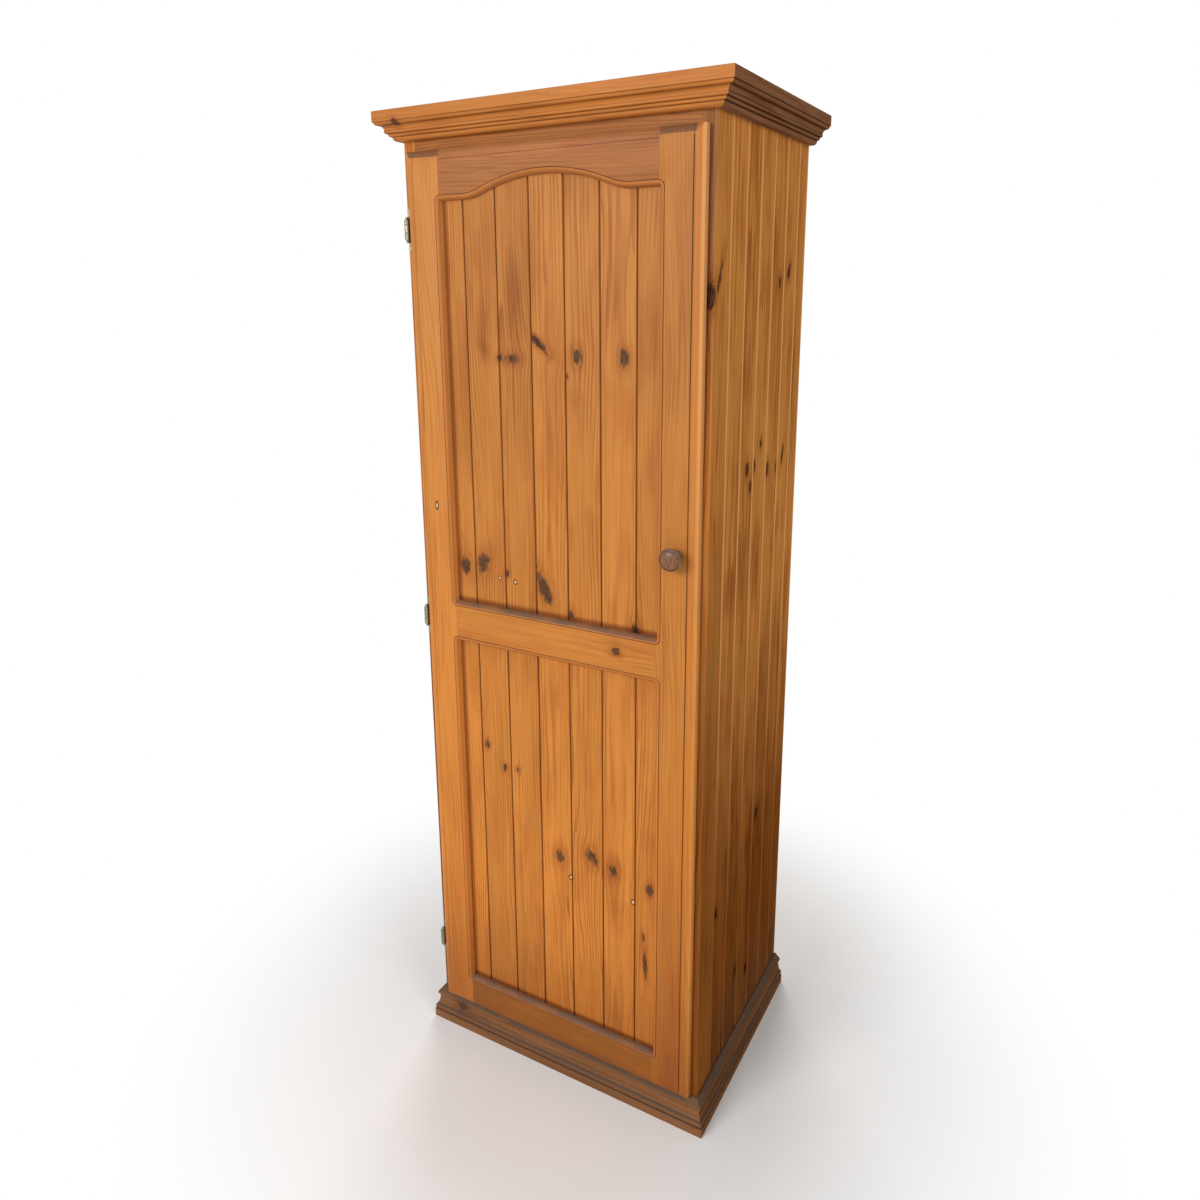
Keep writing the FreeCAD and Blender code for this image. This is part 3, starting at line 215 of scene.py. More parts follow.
class CupboardSizes(bpy.types.PropertyGroup):
    """Small sizes that the dressing adds to the frame."""

    edge_rounding: bpy.props.FloatProperty(
        name="Edge rounding", description="Radius worn on every sawn edge",
        default=0.7 * MM, min=0.0, unit="LENGTH")
    board_cover: bpy.props.FloatProperty(
        name="Board cover", description="Width that each matched board shows",
        default=68 * MM, min=0.01, unit="LENGTH")
    ring_spacing: bpy.props.FloatProperty(
        name="Ring spacing", description="Distance between two growth rings",
        default=5.6 * MM, min=0.001, unit="LENGTH")
    knob_steps: bpy.props.IntProperty(
        name="Knob steps", description="Faces round the turned knob",
        default=96, min=12)


def swatch(name, description, default):
    """A colour that the panel shows as a swatch."""
    return bpy.props.FloatVectorProperty(
        name=name, description=description, subtype="COLOR", size=3,
        min=0.0, max=1.0, default=default)


class CupboardColours(bpy.types.PropertyGroup):
    """Colours of the woods and metals."""

    front_early: swatch("Front wood", "Early wood of the door", (0.51, 0.197, 0.043))
    front_late: swatch("Front rings", "Late wood of the door", (0.30, 0.088, 0.015))
    arch_early: swatch("Top rail wood", "Early wood of the arch", (0.5049, 0.18912, 0.0602))
    arch_late: swatch("Top rail rings", "Late wood of the arch", (0.297, 0.08448, 0.021))
    moulding_early: swatch("Moulding wood", "Early wood round the panels", (0.50, 0.168, 0.026))
    moulding_late: swatch("Moulding rings", "Late wood round the panels", (0.30, 0.080, 0.011))
    side_early: swatch("Side wood", "Early wood of the sides", (0.60, 0.240, 0.055))
    side_late: swatch("Side rings", "Late wood of the sides", (0.33, 0.105, 0.020))
    cornice_early: swatch("Cornice wood", "Early wood above", (0.53, 0.186, 0.035))
    cornice_late: swatch("Cornice rings", "Late wood above", (0.30, 0.092, 0.016))
    # Painted shade: the cornice's own wood, darker on its ends that face away from the light
    return_early: swatch("Cornice side", "Early wood at its ends", (0.255, 0.116, 0.054))
    return_late: swatch("Cornice side rings", "Its late wood", (0.155, 0.060, 0.024))
    plinth_early: swatch("Plinth wood", "Early wood below", (0.25, 0.105, 0.036))
    plinth_late: swatch("Plinth rings", "Late wood below", (0.12, 0.045, 0.016))
    inner_early: swatch("Inner wood", "Early wood inside", (0.70, 0.42, 0.18))
    inner_late: swatch("Inner rings", "Late wood inside", (0.50, 0.24, 0.08))
    # Grime and painted shade in the door's joints, quirks and moulding steps
    groove: swatch("Groove", "Dirt between the door's boards", (0.13, 0.036, 0.009))
    back_joint: swatch("Back joint", "Line between the back's boards", (0.30, 0.15, 0.06))
    # Painted highlight on edges and chamfers that face the light
    worn: swatch("Worn edge", "Bare wood on worn edges", (0.80, 0.395, 0.14))
    end_grain: swatch("End grain", "Sawn ends of the stiles", (0.145, 0.062, 0.032))
    knob: swatch("Knob", "Dark turned wood", (0.22, 0.095, 0.038))
    dust: swatch("Dust", "Dust on the ledges", (0.125, 0.080, 0.055))
    brass: swatch("Brass", "Aged hinge brass", (0.44, 0.41, 0.29))
    steel: swatch("Steel", "Plated screws", (0.55, 0.55, 0.53))
    plastic: swatch("Catch", "Brown catch housing", (0.16, 0.07, 0.03))
    floor: swatch("Floor", "Plain studio floor", (0.94, 0.935, 0.925))


def paint(name):
    """Colour of that name in the panel."""
    return tuple(getattr(bpy.context.scene.cupboard_colours, name))


def sizes():
    """The small sizes of this scene."""
    return bpy.context.scene.cupboard_sizes


# Nodes

class Value:
    """One output of a node, which stands in sums as a number does."""

    def __init__(self, socket):
        self.socket, self.tree = socket, socket.id_data

    def __add__(self, other):
        return sums("ADD", self, other)

    def __sub__(self, other):
        return sums("SUBTRACT", self, other)

    def __mul__(self, other):
        return sums("MULTIPLY", self, other)

    def __truediv__(self, other):
        return sums("DIVIDE", self, other)


class Outputs:
    """The outputs of a node, by number or by name."""

    def __init__(self, made):
        self.made = made

    def __getitem__(self, key):
        return Value(self.made.outputs[key])


def feed(socket, value):
    """Link an output to the socket, or write a plain value into it."""
    if isinstance(value, Value):
        value.tree.links.new(value.socket, socket)
    elif socket.type == "RGBA":
        socket.default_value = (*value[:3], 1.0)
    else:
        socket.default_value = value


def node(kind, values=(), tree=None, **settings):
    """Outputs of a new node, made in the given tree or in that of its values."""
    values = dict(values)
    tree = tree or next(value.tree for value in values.values() if isinstance(value, Value))
    made = tree.nodes.new(kind)
    for name, value in settings.items():
        setattr(made, name, value)
    for key, value in values.items():
        feed(made.inputs[key], value)
    return Outputs(made)


def sums(operation, *values):
    """One step of arithmetic."""
    return node("ShaderNodeMath", enumerate(values), operation=operation)[0]


def times_plus(first, second, third):
    """Product of the first two, plus the third."""
    return sums("MULTIPLY_ADD", first, second, third)


def distance(one, two):
    """Root of the sum of two squares."""
    return sums("SQRT", times_plus(one, one, two * two))


def blend(factor, first, second, mode="MIX"):
    """Mix of two colours."""
    return node("ShaderNodeMix", {0: factor, 6: first, 7: second}, data_type="RGBA",
                blend_type=mode)[2]


def dyed(factor, colour, dye):
    """The colour, multiplied by the dye as far as the factor says."""
    return blend(factor, colour, dye, "MULTIPLY")


def scaled(colour, factor):
    """The colour, darker or lighter by the factor."""
    return node("ShaderNodeVectorMath", {0: colour, "Scale": factor}, operation="SCALE")[0]


def step(value, low, high, out_low=0.0, out_high=1.0):
    """Smooth change from out_low to out_high while the value goes from low to high."""
    return node("ShaderNodeMapRange", {0: value, 1: low, 2: high, 3: out_low, 4: out_high},
                interpolation_type="SMOOTHSTEP")[0]


def noise(vector, scale, detail=2.0, roughness=0.5):
    """Soft noise around a half."""
    return node("ShaderNodeTexNoise", {"Vector": vector, "Scale": scale, "Detail": detail,
                                       "Roughness": roughness})["Fac"]


def combined(x, y, z):
    """Three numbers as one vector."""
    return node("ShaderNodeCombineXYZ", {0: x, 1: y, 2: z})[0]


def parts_of(vector):
    """The three numbers of a vector."""
    made = node("ShaderNodeSeparateXYZ", {0: vector})
    return [made[i] for i in range(3)]


def bump(height, strength, distance_mm):
    """Normal of a pattern that stands up by a distance in millimetres."""
    return node("ShaderNodeBump", {"Height": height, "Strength": strength,
                                   "Distance": distance_mm * MM})[0]


def node_group(inputs, outputs):
    """Make a group of a function's nodes, once, under the function's name.

    An input is given by its default: a number, four numbers for a colour, or None for a
    vector. An output is a number, unless it is called Color.
    """
    kinds = {float: "NodeSocketFloat", tuple: "NodeSocketColor", type(None): "NodeSocketVector"}

    def wrap(build):
        def get():
            name = build.__name__
            if name in bpy.data.node_groups:
                return bpy.data.node_groups[name]
            tree = bpy.data.node_groups.new(name, "ShaderNodeTree")
            for label, default in inputs.items():
                socket = tree.interface.new_socket(name=label, in_out="INPUT",
                                                   socket_type=kinds[type(default)])
                if default is not None:
                    socket.default_value = default
            for label in outputs:
                tree.interface.new_socket(name=label, in_out="OUTPUT",
                                          socket_type=kinds[tuple if label == "Color" else float])
            given = node("NodeGroupInput", tree=tree)
            leave = tree.nodes.new("NodeGroupOutput")
            for label, value in zip(outputs, build(given)):
                feed(leave.inputs[label], value)
            return tree
        return get
    return wrap


def placed(get_group, values):
    """Outputs of a group that is placed with its own values."""
    return node("ShaderNodeGroup", values, node_tree=get_group())


def turned(given, thing):
    """Distance across from a thing's middle, and the place along its own two axes."""
    across = given["Across"] - given[f"{thing} across"]
    along = given["Along"] - given[f"{thing} along"]
    one = times_plus(across, given["Cosine"], along * given["Sine"])
    return across, one, along * given["Cosine"] - across * given["Sine"]


@node_group({"Across": 0.0, "Along": 0.0, "Knot across": 0.0, "Knot along": 0.0,
             "Radius": 0.01, "Cosine": 1.0, "Sine": 0.0, "Squash": 0.62, "Warp": 0.0,
             "Nearest": 9.0}, ("Warp", "Nearest"))
def knot_field(given):
    """One knot in the run of the grain.

    The knot is an ellipse, turned by an angle and squashed along its second axis. The
    grain's lines are moved aside as a stream is by a round post: by the offset times the
    square of radius over distance. The nearest knot is kept as distance over radius.
    """
    across, one, two = turned(given, "Knot")
    far = distance(one, two * given["Squash"]) / given["Radius"]
    reach = sums("MAXIMUM", far, 1.0)
    push = across / (reach * reach)
    return given["Warp"] + push, sums("MINIMUM", given["Nearest"], far)


@node_group({"Across": 0.0, "Along": 0.0, "Mark across": 0.0, "Mark along": 0.0,
             "Half width": 0.01, "Half height": 0.01, "Cosine": 1.0, "Sine": 0.0,
             "Inner": 0.1}, ("Mask",))
def soft_mark(given):
    """Mask of a turned ellipse: full inside its inner share, nothing at its rim."""
    _, one, two = turned(given, "Mark")
    far = distance(one / given["Half width"], two / given["Half height"])
    return (step(far, 1.0, given["Inner"]),)


@node_group({"Across": 0.0, "Start": 0.0, "Cover": 0.068},
            ("Seed", "Other seed", "Local", "Joint"))
def board_split(given):
    """Which matched board a point is on, its place on it, and how near it is to the joint."""
    share = (given["Across"] - given["Start"]) / given["Cover"]
    count = sums("FLOOR", share)
    local = (share - count - 0.5) * given["Cover"]
    edge = given["Cover"] * 0.5 - sums("ABSOLUTE", local)
    seed, other = (
        node("ShaderNodeTexWhiteNoise", {"W": number}, noise_dimensions="1D")["Value"]
        for number in (count, count + 41.7))
    return seed, other, local, edge


@node_group({"Across": 0.0, "Depth": 0.0, "Along": 0.0, "Seed": 0.5, "Other seed": 0.5,
             "Warp": 0.0, "Nearest": 9.0, "Spacing": 0.004, "Early": (0.6, 0.3, 0.1, 1.0),
             "Late": (0.4, 0.15, 0.03, 1.0), "Light": 1.0, "Cloud": 0.25, "Contrast": 0.6},
            ("Color", "Roughness", "Height"))
def pine_grain(given):
    """Pine cut from a round log.

    Rings lie at equal distances from a heart line that runs behind the board, a little
    aslant to it, and each ring goes from pale early wood to a dark late line. Noise drawn
    out along the grain gives fibres, veins and clouds. The knots bend the rings, and each
    has a ragged dark heart, with rings of its own, in a wider halo.
    """
    shift = given["Seed"] * 31.0
    across = given["Across"] - given["Warp"]

    def drawn(wide, long, deep=shift, start=across):
        """The place times a factor across and one along, for noise to fill."""
        return combined(start * wide, deep, given["Along"] * long)

    slow = drawn(5.0, 1.6, given["Depth"] + shift)
    wander = noise(slow, 1.0, 1.0) - 0.5
    heart = times_plus(given["Seed"], 0.09, -0.045)
    lean = times_plus(given["Other seed"], 0.03, -0.015)
    sideways = times_plus(given["Along"], lean, times_plus(wander, 0.05, across) - heart)
    behind = times_plus(given["Other seed"], 0.05, 0.012) + given["Depth"] * 0.3
    uneven = noise(drawn(60.0, 3.0, given["Depth"] * 60.0 + shift), 1.0) * 2.6
    turn = sums("FRACT", distance(sideways, behind) / given["Spacing"] + uneven)
    late = step(turn, 0.35, 0.88) * step(turn, 1.0, 0.9)
    late = late * step(noise(slow, 2.3), 0.32, 0.66, 0.12, 1.0)

    fibre = noise(drawn(1100.0, 18.0, given["Depth"] * 1100.0), 1.0, 2.0, 0.6)
    streak = noise(drawn(300.0, 5.0), 1.0, 3.0, 0.7)
    cloudy = drawn(14.0, 3.2)
    light = times_plus(noise(cloudy, 1.0, 3.0, 0.6) - 0.5, given["Cloud"], given["Light"])
    light = light + times_plus(fibre, 0.34, -0.17) + times_plus(streak, 0.44, -0.22)
    colour = scaled(blend(late * given["Contrast"], given["Early"], given["Late"]), light)
    blush = step(noise(cloudy, 1.9), 0.46, 0.68) * given["Cloud"]
    colour = dyed(blush, colour, BLUSH_DYE)
    vein = step(noise(drawn(85.0, 1.3), 1.0, 4.0, 0.62), 0.60, 0.74, 0.0, 0.6)
    colour = dyed(vein, colour, VEIN_DYE)

    grit = noise(drawn(210.0, 95.0, start=given["Across"]), 1.0, 4.0, 0.6)
    ragged = times_plus(grit, 1.6, times_plus(streak, 1.5, given["Nearest"]))
    colour = dyed(step(ragged, 4.7, 2.2, 0.0, 0.62), colour, HALO_DYE)
    core = step(ragged, 2.8, 2.15)
    ring = times_plus(sums("SINE", given["Nearest"] * 17.0), 0.12, 0.88)
    ring = ring * step(grit, 0.36, 0.62, 0.7, 1.5)
    colour = blend(core * 0.94, colour, scaled(KNOT_HEART, ring))
    rough = times_plus(late, -0.05, times_plus(fibre, 0.18, 0.40))
    height = times_plus(core, 0.6, times_plus(late, 0.5, fibre * 0.5))
    return colour, rough, height


@node_group({"Color": (0.5, 0.5, 0.5, 1.0), "Roughness": 0.4, "Dust": (0.2, 0.15, 0.1, 1.0),
             "Amount": 0.8, "Vector": None}, ("Color", "Roughness"))
def ledge_dust(given):
    """Grey dust where a face looks up, patchy as cloth leaves it."""
    face = node("ShaderNodeNewGeometry", tree=given["Color"].tree)["Normal"]
    patch = step(noise(given["Vector"], 22.0, 3.0, 0.6), 0.2, 0.6, 0.5, 1.0)
    share = step(parts_of(face)[2], 0.12, 0.6) * patch * given["Amount"]
    return (blend(share, given["Color"], given["Dust"]),
            times_plus(share, 0.3, given["Roughness"]))


# Materials

def new_material(name):
    """A material, its tree and the place of a point on its object."""
    material = bpy.data.materials.new(name)
    material.use_nodes = True
    tree = material.node_tree
    return material, tree, node("ShaderNodeTexCoord", tree=tree)["Object"]


def finish(material, values):
    """Write the values into the material's own shader."""
    shader = material.node_tree.nodes["Principled BSDF"]
    for key, value in values.items():
        feed(shader.inputs[key], value)
    return material


def turned_by(degrees):
    """Cosine and sine of an angle, as inputs of a group."""
    return {"Cosine": cos(radians(degrees)), "Sine": sin(radians(degrees))}


def with_knots(across, along, knots):
    """The grain's shift and the nearest knot, from a row of knots."""
    warp, nearest = 0.0, 9.0
    for knot_across, knot_along, radius, *rest in knots:
        turn, squash = rest or KNOT_TURN_AND_SQUASH
        field = placed(knot_field, {
            "Across": across, "Along": along, "Knot across": knot_across * MM,
            "Knot along": knot_along * MM, "Radius": radius * MM, "Squash": squash,
            "Warp": warp, "Nearest": nearest, **turned_by(turn)})
        warp, nearest = field["Warp"], field["Nearest"]
    return warp, nearest


def mark(across, along, middle, half, turn=0.0, inner=0.1):
    """Mask of one soft mark, from its middle and its half width and height."""
    return placed(soft_mark, {
        "Across": across, "Along": along, "Mark across": middle[0] * MM,
        "Mark along": middle[1] * MM, "Half width": half[0] * MM,
        "Half height": half[1] * MM, "Inner": inner, **turned_by(turn)})["Mask"]


def with_stains(colour, across, along, stains):
    """Soft dark marks over the colour: real stains on the door's boards, and painted shade on its
    stiles and the corner posts.
    """
    for x, z, width, height, turn, depth in stains:
        mask = mark(across, along, (x, z), (width, height), turn)
        colour = dyed(mask * depth, colour, DARK_MARK_TONE)
    return colour


def with_plugs(colour, across, along, plugs):
    """Pale plugs, each in a dark ring."""
    for x, z, radius, *tall in plugs:
        for share, inner, tone in PLUG_LAYERS:
            half = radius * share, radius * share * (tall[0] if tall else PLUG_HEIGHT)
            colour = blend(mark(across, along, (x, z), half, inner=inner), colour, tone)
    return colour


def with_lines(colour, value, places, tone, width_mm, depth, mode="MIX"):
    """Fine lines where the value passes any of the places, soft at their rims."""
    nearest, width = 9.0, width_mm * MM
    for place in places:
        nearest = sums("MINIMUM", sums("ABSOLUTE", value - place), nearest)
    return blend(step(nearest, width, width * 0.3, 0.0, depth), colour, tone, mode)


def moulded_edges(colour, parts):
    """Painted highlight on the moulding at the door's free edge: warmer, and pale at its very
    rim.
    """
    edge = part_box("door_knob_stile")[1][0]
    higher = step(parts[2], *RIM_HIGHLIGHT_HEIGHTS, 0.2, 0.65)
    for (begins, full), tone in ((RIM_WARM_HIGHLIGHT, RIM_HIGHLIGHT_ORANGE), (RIM_PALE_HIGHLIGHT, paint("worn"))):
        outer = step(parts[0], edge - begins * MM, edge - full * MM)
        colour = blend(outer * higher, colour, tone)
    return colour


def facing_front(tree):
    """Mask of the faces to the front."""
    return step(parts_of(node("ShaderNodeTexCoord", tree=tree)["Normal"])[1], -0.3, -0.7)


def pine(name, axes, wood, centre=0.0, knots=(), stains=(), plugs=(), start=None, seed=0.4,
         light=1.0, cloud=0.3, contrast=0.6, joints=(), joint=BOARD_JOINT, ends=(),
         hollows=(), hollow_depth=0.55, dust=0.85, fades=(), end_grain=False, moulded=False,
         corners=(), shaded=False, gloss=0.16):
    """Waxed pine with its grain along the last of three axes: across, depth and along.

    Axes of "corner" run across both faces of a corner post, and "run" follows a moulding.
    The wood is the first word of two colours in the panel. With a start, the boards are
    split at every cover from there. The joints, ends and hollows are places of fine lines
    across, along and in height, and those in the hollows are painted shade. The corners are
    (axis, place) pairs of soft painted shade, with some grime, on faces to the front, and
    a painted upper shade darkens those faces, higher up, where it is asked for.
    """
    material, tree, place = new_material(name)
    parts = parts_of(place)
    if axes == "run":
        along, across, depth = parts_of(node("ShaderNodeUVMap", tree=tree, uv_map="run")[0])
    elif axes == "corner":
        depth = sums("ABSOLUTE", parts[0]) - HALF_WIDTH * MM
        across, along = depth + parts[1], parts[2]
    else:
        across, depth, along = (parts[AXES[axis]] for axis in axes)
    warp, nearest = with_knots(across, along, knots)
    values = {"Depth": depth, "Along": along, "Warp": warp, "Nearest": nearest,
              "Spacing": sizes().ring_spacing, "Early": paint(f"{wood}_early"),
              "Late": paint(f"{wood}_late"), "Light": light, "Cloud": cloud,
              "Contrast": contrast}
    if start is None:
        from_joint = across
        values |= {"Across": across - centre, "Seed": seed, "Other seed": (seed * 7.3) % 1.0}
    else:
        board = placed(board_split, {"Across": across, "Start": start,
                                     "Cover": sizes().board_cover})
        from_joint, joints = board["Joint"], (0.0,)
        values |= {"Across": board["Local"], "Seed": board["Seed"],
                   "Other seed": board["Other seed"]}
    grain = placed(pine_grain, values)
    colour = with_stains(grain["Color"], across, along, stains)
    colour = with_plugs(colour, across, along, plugs)
    for value, lines, (tone, width, strength) in ((from_joint, joints, joint),
                                                  (along, ends, END_LINE)):
        if lines:
            colour = with_lines(colour, value, lines, paint(tone), width, strength)
    # Painted shade, with some grime, along the feet and sides of the door's panels
    for axis, spot in corners:
        corner_shade = with_lines(colour, parts[AXES[axis]], (spot,), CORNER_SHADE_AND_GRIME, CORNER_SHADE_WIDTH,
                           CORNER_SHADE_DEPTH, "MULTIPLY")
        colour = blend(facing_front(tree), colour, corner_shade)
    # Painted shade on the faces to the front, higher up
    if shaded:
        colour = dyed(facing_front(tree) * step(parts[2], *SHADE_HEIGHTS), colour, UPPER_PAINTED_SHADE)
    # Painted shade along the hollows of the moulding
    if hollows:
        colour = with_lines(colour, parts[2], [z * MM for z in hollows], HOLLOW_SHADE,
                            HOLLOW_WIDTH, hollow_depth, "MULTIPLY")
    # The moulding's painted shade and grime, from its own attribute
    if axes == "run":
        dirt = node("ShaderNodeAttribute", tree=tree, attribute_name="dirt")["Fac"]
        colour = blend(dirt, colour, paint("groove"))
        dust = times_plus(dirt, -dust, dust)
    if end_grain:
        face = node("ShaderNodeNewGeometry", tree=tree)["True Normal"]
        pores = step(noise(place, 900.0), 0.3, 0.7, 0.7, 1.25)
        colour = blend(step(parts_of(face)[2], 0.12, 0.22, 0.0, 0.85), colour,
                       scaled(paint("end_grain"), pores))
    # Painted highlight on the door's free edge
    if moulded:
        colour = moulded_edges(colour, parts)
    # Painted light and shade that change with height
    for low, high, dye in fades:
        colour = dyed(step(parts[2], high, low), colour, dye)
    dusty = placed(ledge_dust, {"Color": colour, "Roughness": grain["Roughness"],
                                "Dust": paint("dust"), "Amount": dust, "Vector": place})
    return finish(material, {"Base Color": dusty["Color"], "Roughness": dusty["Roughness"],
                             "Normal": bump(grain["Height"], 0.3, 0.2),
                             "Specular IOR Level": gloss})


def metal(name, colour, roughness, stain, dark_from=None):
    """Metal with blotches of a darker stain, and a painted shade beyond a place along X."""
    material, _, place = new_material(name)
    blotch = step(noise(place, 420.0, 4.0, 0.65), 0.35, 0.65)
    painted = blend(blotch, colour, stain)
    if dark_from is not None:
        # Painted shade on the leaves in the gap beside the knuckles
        beyond = step(parts_of(place)[0], dark_from, dark_from + MM, 0.0, 0.8)
        painted = blend(beyond, painted, BRASS_PAINTED_SHADE)
    return finish(material, {"Base Color": painted, "Metallic": 1.0,
                             "Roughness": times_plus(blotch, 0.25, roughness)})


def plated(name):
    """Plated steel, as on screws and the catch's plate."""
    return metal(name, paint("steel"), 0.3, STEEL_STAIN)


def turned_wood(name, centre):
    """Dark dense wood, polished, with upright fibres and painted shade in the ring of its face.

    The ring is where the distance from the axis, across it, is near its own radius.
    """
    material, _, place = new_material(name)
    x, y, z = parts_of(place)
    streak = noise(combined(x * 520.0, y * 520.0, z * 60.0), 1.0, 3.0, 0.6)
    wood = scaled(paint("knob"), step(streak, 0.3, 0.7, 0.55, 1.45))
    above = z - centre[2]
    radius = distance(x - centre[0], above)
    front = step(y, centre[1] - 24 * MM, centre[1] - 26 * MM)
    # Painted shade in the groove of the ring
    ringed = with_lines(wood, radius, (RING_RADIUS * MM,), RING_SHADE, RING_WIDTH, 1.0)
    wood = blend(front * 0.8, wood, ringed)
    wood = blend(step(above, 0.0, 14 * MM, 0.0, 0.55) * front, wood, KNOB_DUST)
    return finish(material, {"Base Color": wood, "Roughness": times_plus(streak, 0.15, 0.24),
                             "Normal": bump(streak, 0.2, 0.1), "Specular IOR Level": 0.3})


def plastic(name):
    """Moulded plastic with a fine grained skin."""
    material, _, place = new_material(name)
    skin = noise(place, 1800.0)
    tone = step(noise(place, 60.0), 0.3, 0.7, 0.85, 1.1)
    return finish(material, {"Base Color": scaled(paint("plastic"), tone),
                             "Roughness": times_plus(skin, 0.2, 0.4),
                             "Normal": bump(skin, 0.3, 0.05)})


# Places

def across_board(name, axis):
    """Lowest and highest place that a matched board covers across."""
    low, high = (corner[AXES[axis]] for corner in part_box(name))
    return low, high - TONGUE * MM


def middle_of(node_name):
    """Middle of a node's box."""
    low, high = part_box(node_name)
    return [(low[i] + high[i]) / 2 for i in range(3)]


def near(rows, low, high):
    """The rows of a table whose first place lies on the board."""
    return [row for row in rows if low / MM - row[2] < row[0] < high / MM + row[2]]


def swapped(rows):
    """Rows of (x, z, ...) as (z, x, ...), for grain that runs along X."""
    return [(along, across, *rest) for across, along, *rest in rows]


# Pieces

def put(name, mesh, material, carrier):
    """Put a finished mesh in the scene, on the body of the node it sits on."""
    piece = bpy.data.objects.new(name, mesh)
    bpy.context.scene.collection.objects.link(piece)
    mesh.materials.clear()
    mesh.materials.append(material)
    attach(piece, NODE_BODY[carrier])
    return piece


def smoothed(mesh, angle, doubles=None, flat=None):
    """Turn a mesh's faces outwards and shade it smooth up to an angle.

    Points nearer than doubles, in millimetres, are merged first, and faces that meet at
    less than the flat angle become one.
    """
    work = bmesh.new()
    work.from_mesh(mesh)
    if doubles:
        bmesh.ops.remove_doubles(work, verts=work.verts, dist=doubles * MM)
    if flat:
        bmesh.ops.dissolve_limit(work, angle_limit=radians(flat), verts=work.verts,
                                 edges=work.edges)
    bmesh.ops.recalc_face_normals(work, faces=work.faces)
    work.to_mesh(mesh)
    work.free()
    mesh.polygons.foreach_set("use_smooth", [True] * len(mesh.polygons))
    mesh.set_sharp_from_angle(angle=radians(angle))
    return mesh


def dressed(node_name, material, rounding=None):
    """A merged copy of a node, with its sharp edges rounded as handling wears them."""
    mesh = smoothed(frame["nodes"][node_name].data.copy(), 35, 0.001, 0.3)
    piece = put(f"{node_name}_dressed", mesh, material, node_name)
    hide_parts(node_name)
    width = sizes().edge_rounding if rounding is None else rounding * MM
    if width > 0.0:
        bevel = piece.modifiers.new("edges", "BEVEL")
        bevel.width = width
        bevel.segments = 2
        bevel.limit_method = "ANGLE"
        bevel.angle_limit = radians(40)
        bevel.use_clamp_overlap = True
        bevel.harden_normals = True


def dress_all(names, material, rounding=None):
    """The same dressing for several nodes."""
    for name in names:
        dressed(name, material, rounding)


def wooden(node_name, axes, wood, rounding=None, centre=None, **rest):
    """Dress a node in a pine of its own, centred on the node unless a centre is given."""
    if centre is None:
        centre = middle_of(node_name)[AXES[axes[0]]]
    dressed(node_name, pine(f"{node_name}_pine", axes, wood, centre, **rest), rounding)


def smooth_line(points, steps=5):
    """Points of a curve through the given points.

    Between two points the curve is the cubic whose slope at each of them is half the way
    from the point before to the point after.
    """
    given = np.asarray(points, float)
    wide = np.vstack([2 * given[0] - given[1], given, 2 * given[-1] - given[-2]])
    t = np.linspace(0.0, 1.0, steps, endpoint=False)[None, :, None]
    before, start, end, after = (wide[i:len(wide) - 3 + i][:, None, :] for i in range(4))
    curve = 0.5 * (2 * start + (end - before) * t
                   + (2 * before - 5 * start + 4 * end - after) * t ** 2
                   + (3 * start - before - 3 * end + after) * t ** 3)
    return np.vstack([curve.reshape(-1, 2), given[-1:]])


def ring_faces(rows, columns, count):
    """Quads from each of the first rows of points to the next; each row is a ring."""
    row, column = np.meshgrid(np.arange(count), np.arange(columns), indexing="ij")
    below, after = (row + 1) % rows, (column + 1) % columns
    return np.stack([row * columns + column, row * columns + after,
                     below * columns + after, below * columns + column], -1).reshape(-1, 4)


def turned_surface(profile, centre, steps, along="-y"):
    """Surface of a profile turned about a line through the centre, along -Y or along Z.

    A point of the profile is (radius, distance along the line), and the surface is
    (radius cos t, radius sin t) across the line for t from nought to a full turn. A point
    on the line at each end closes it.
    """
    turn = np.linspace(0.0, tau, steps, endpoint=False)
    radius, reach = np.asarray(profile, float).T
    one, two = (np.append(radius[:, None] * way(turn), [0.0, 0.0]) for way in (np.cos, np.sin))
    run = np.append(np.repeat(reach, steps), [reach[0], reach[-1]])
    places = {"-y": (one, -run, two), "z": (one, two, run)}[along]
    count = len(radius)
    first = np.arange(steps)
    last = first + (count - 1) * steps
    tip = np.full(steps, count * steps)
    foot = np.stack([tip, np.roll(first, -1), first], -1)
    head = np.stack([tip + 1, last, np.roll(last, -1)], -1)
    faces = ring_faces(count, steps, count - 1).tolist() + foot.tolist() + head.tolist()
    return np.stack(places, axis=-1) + np.asarray(centre), faces


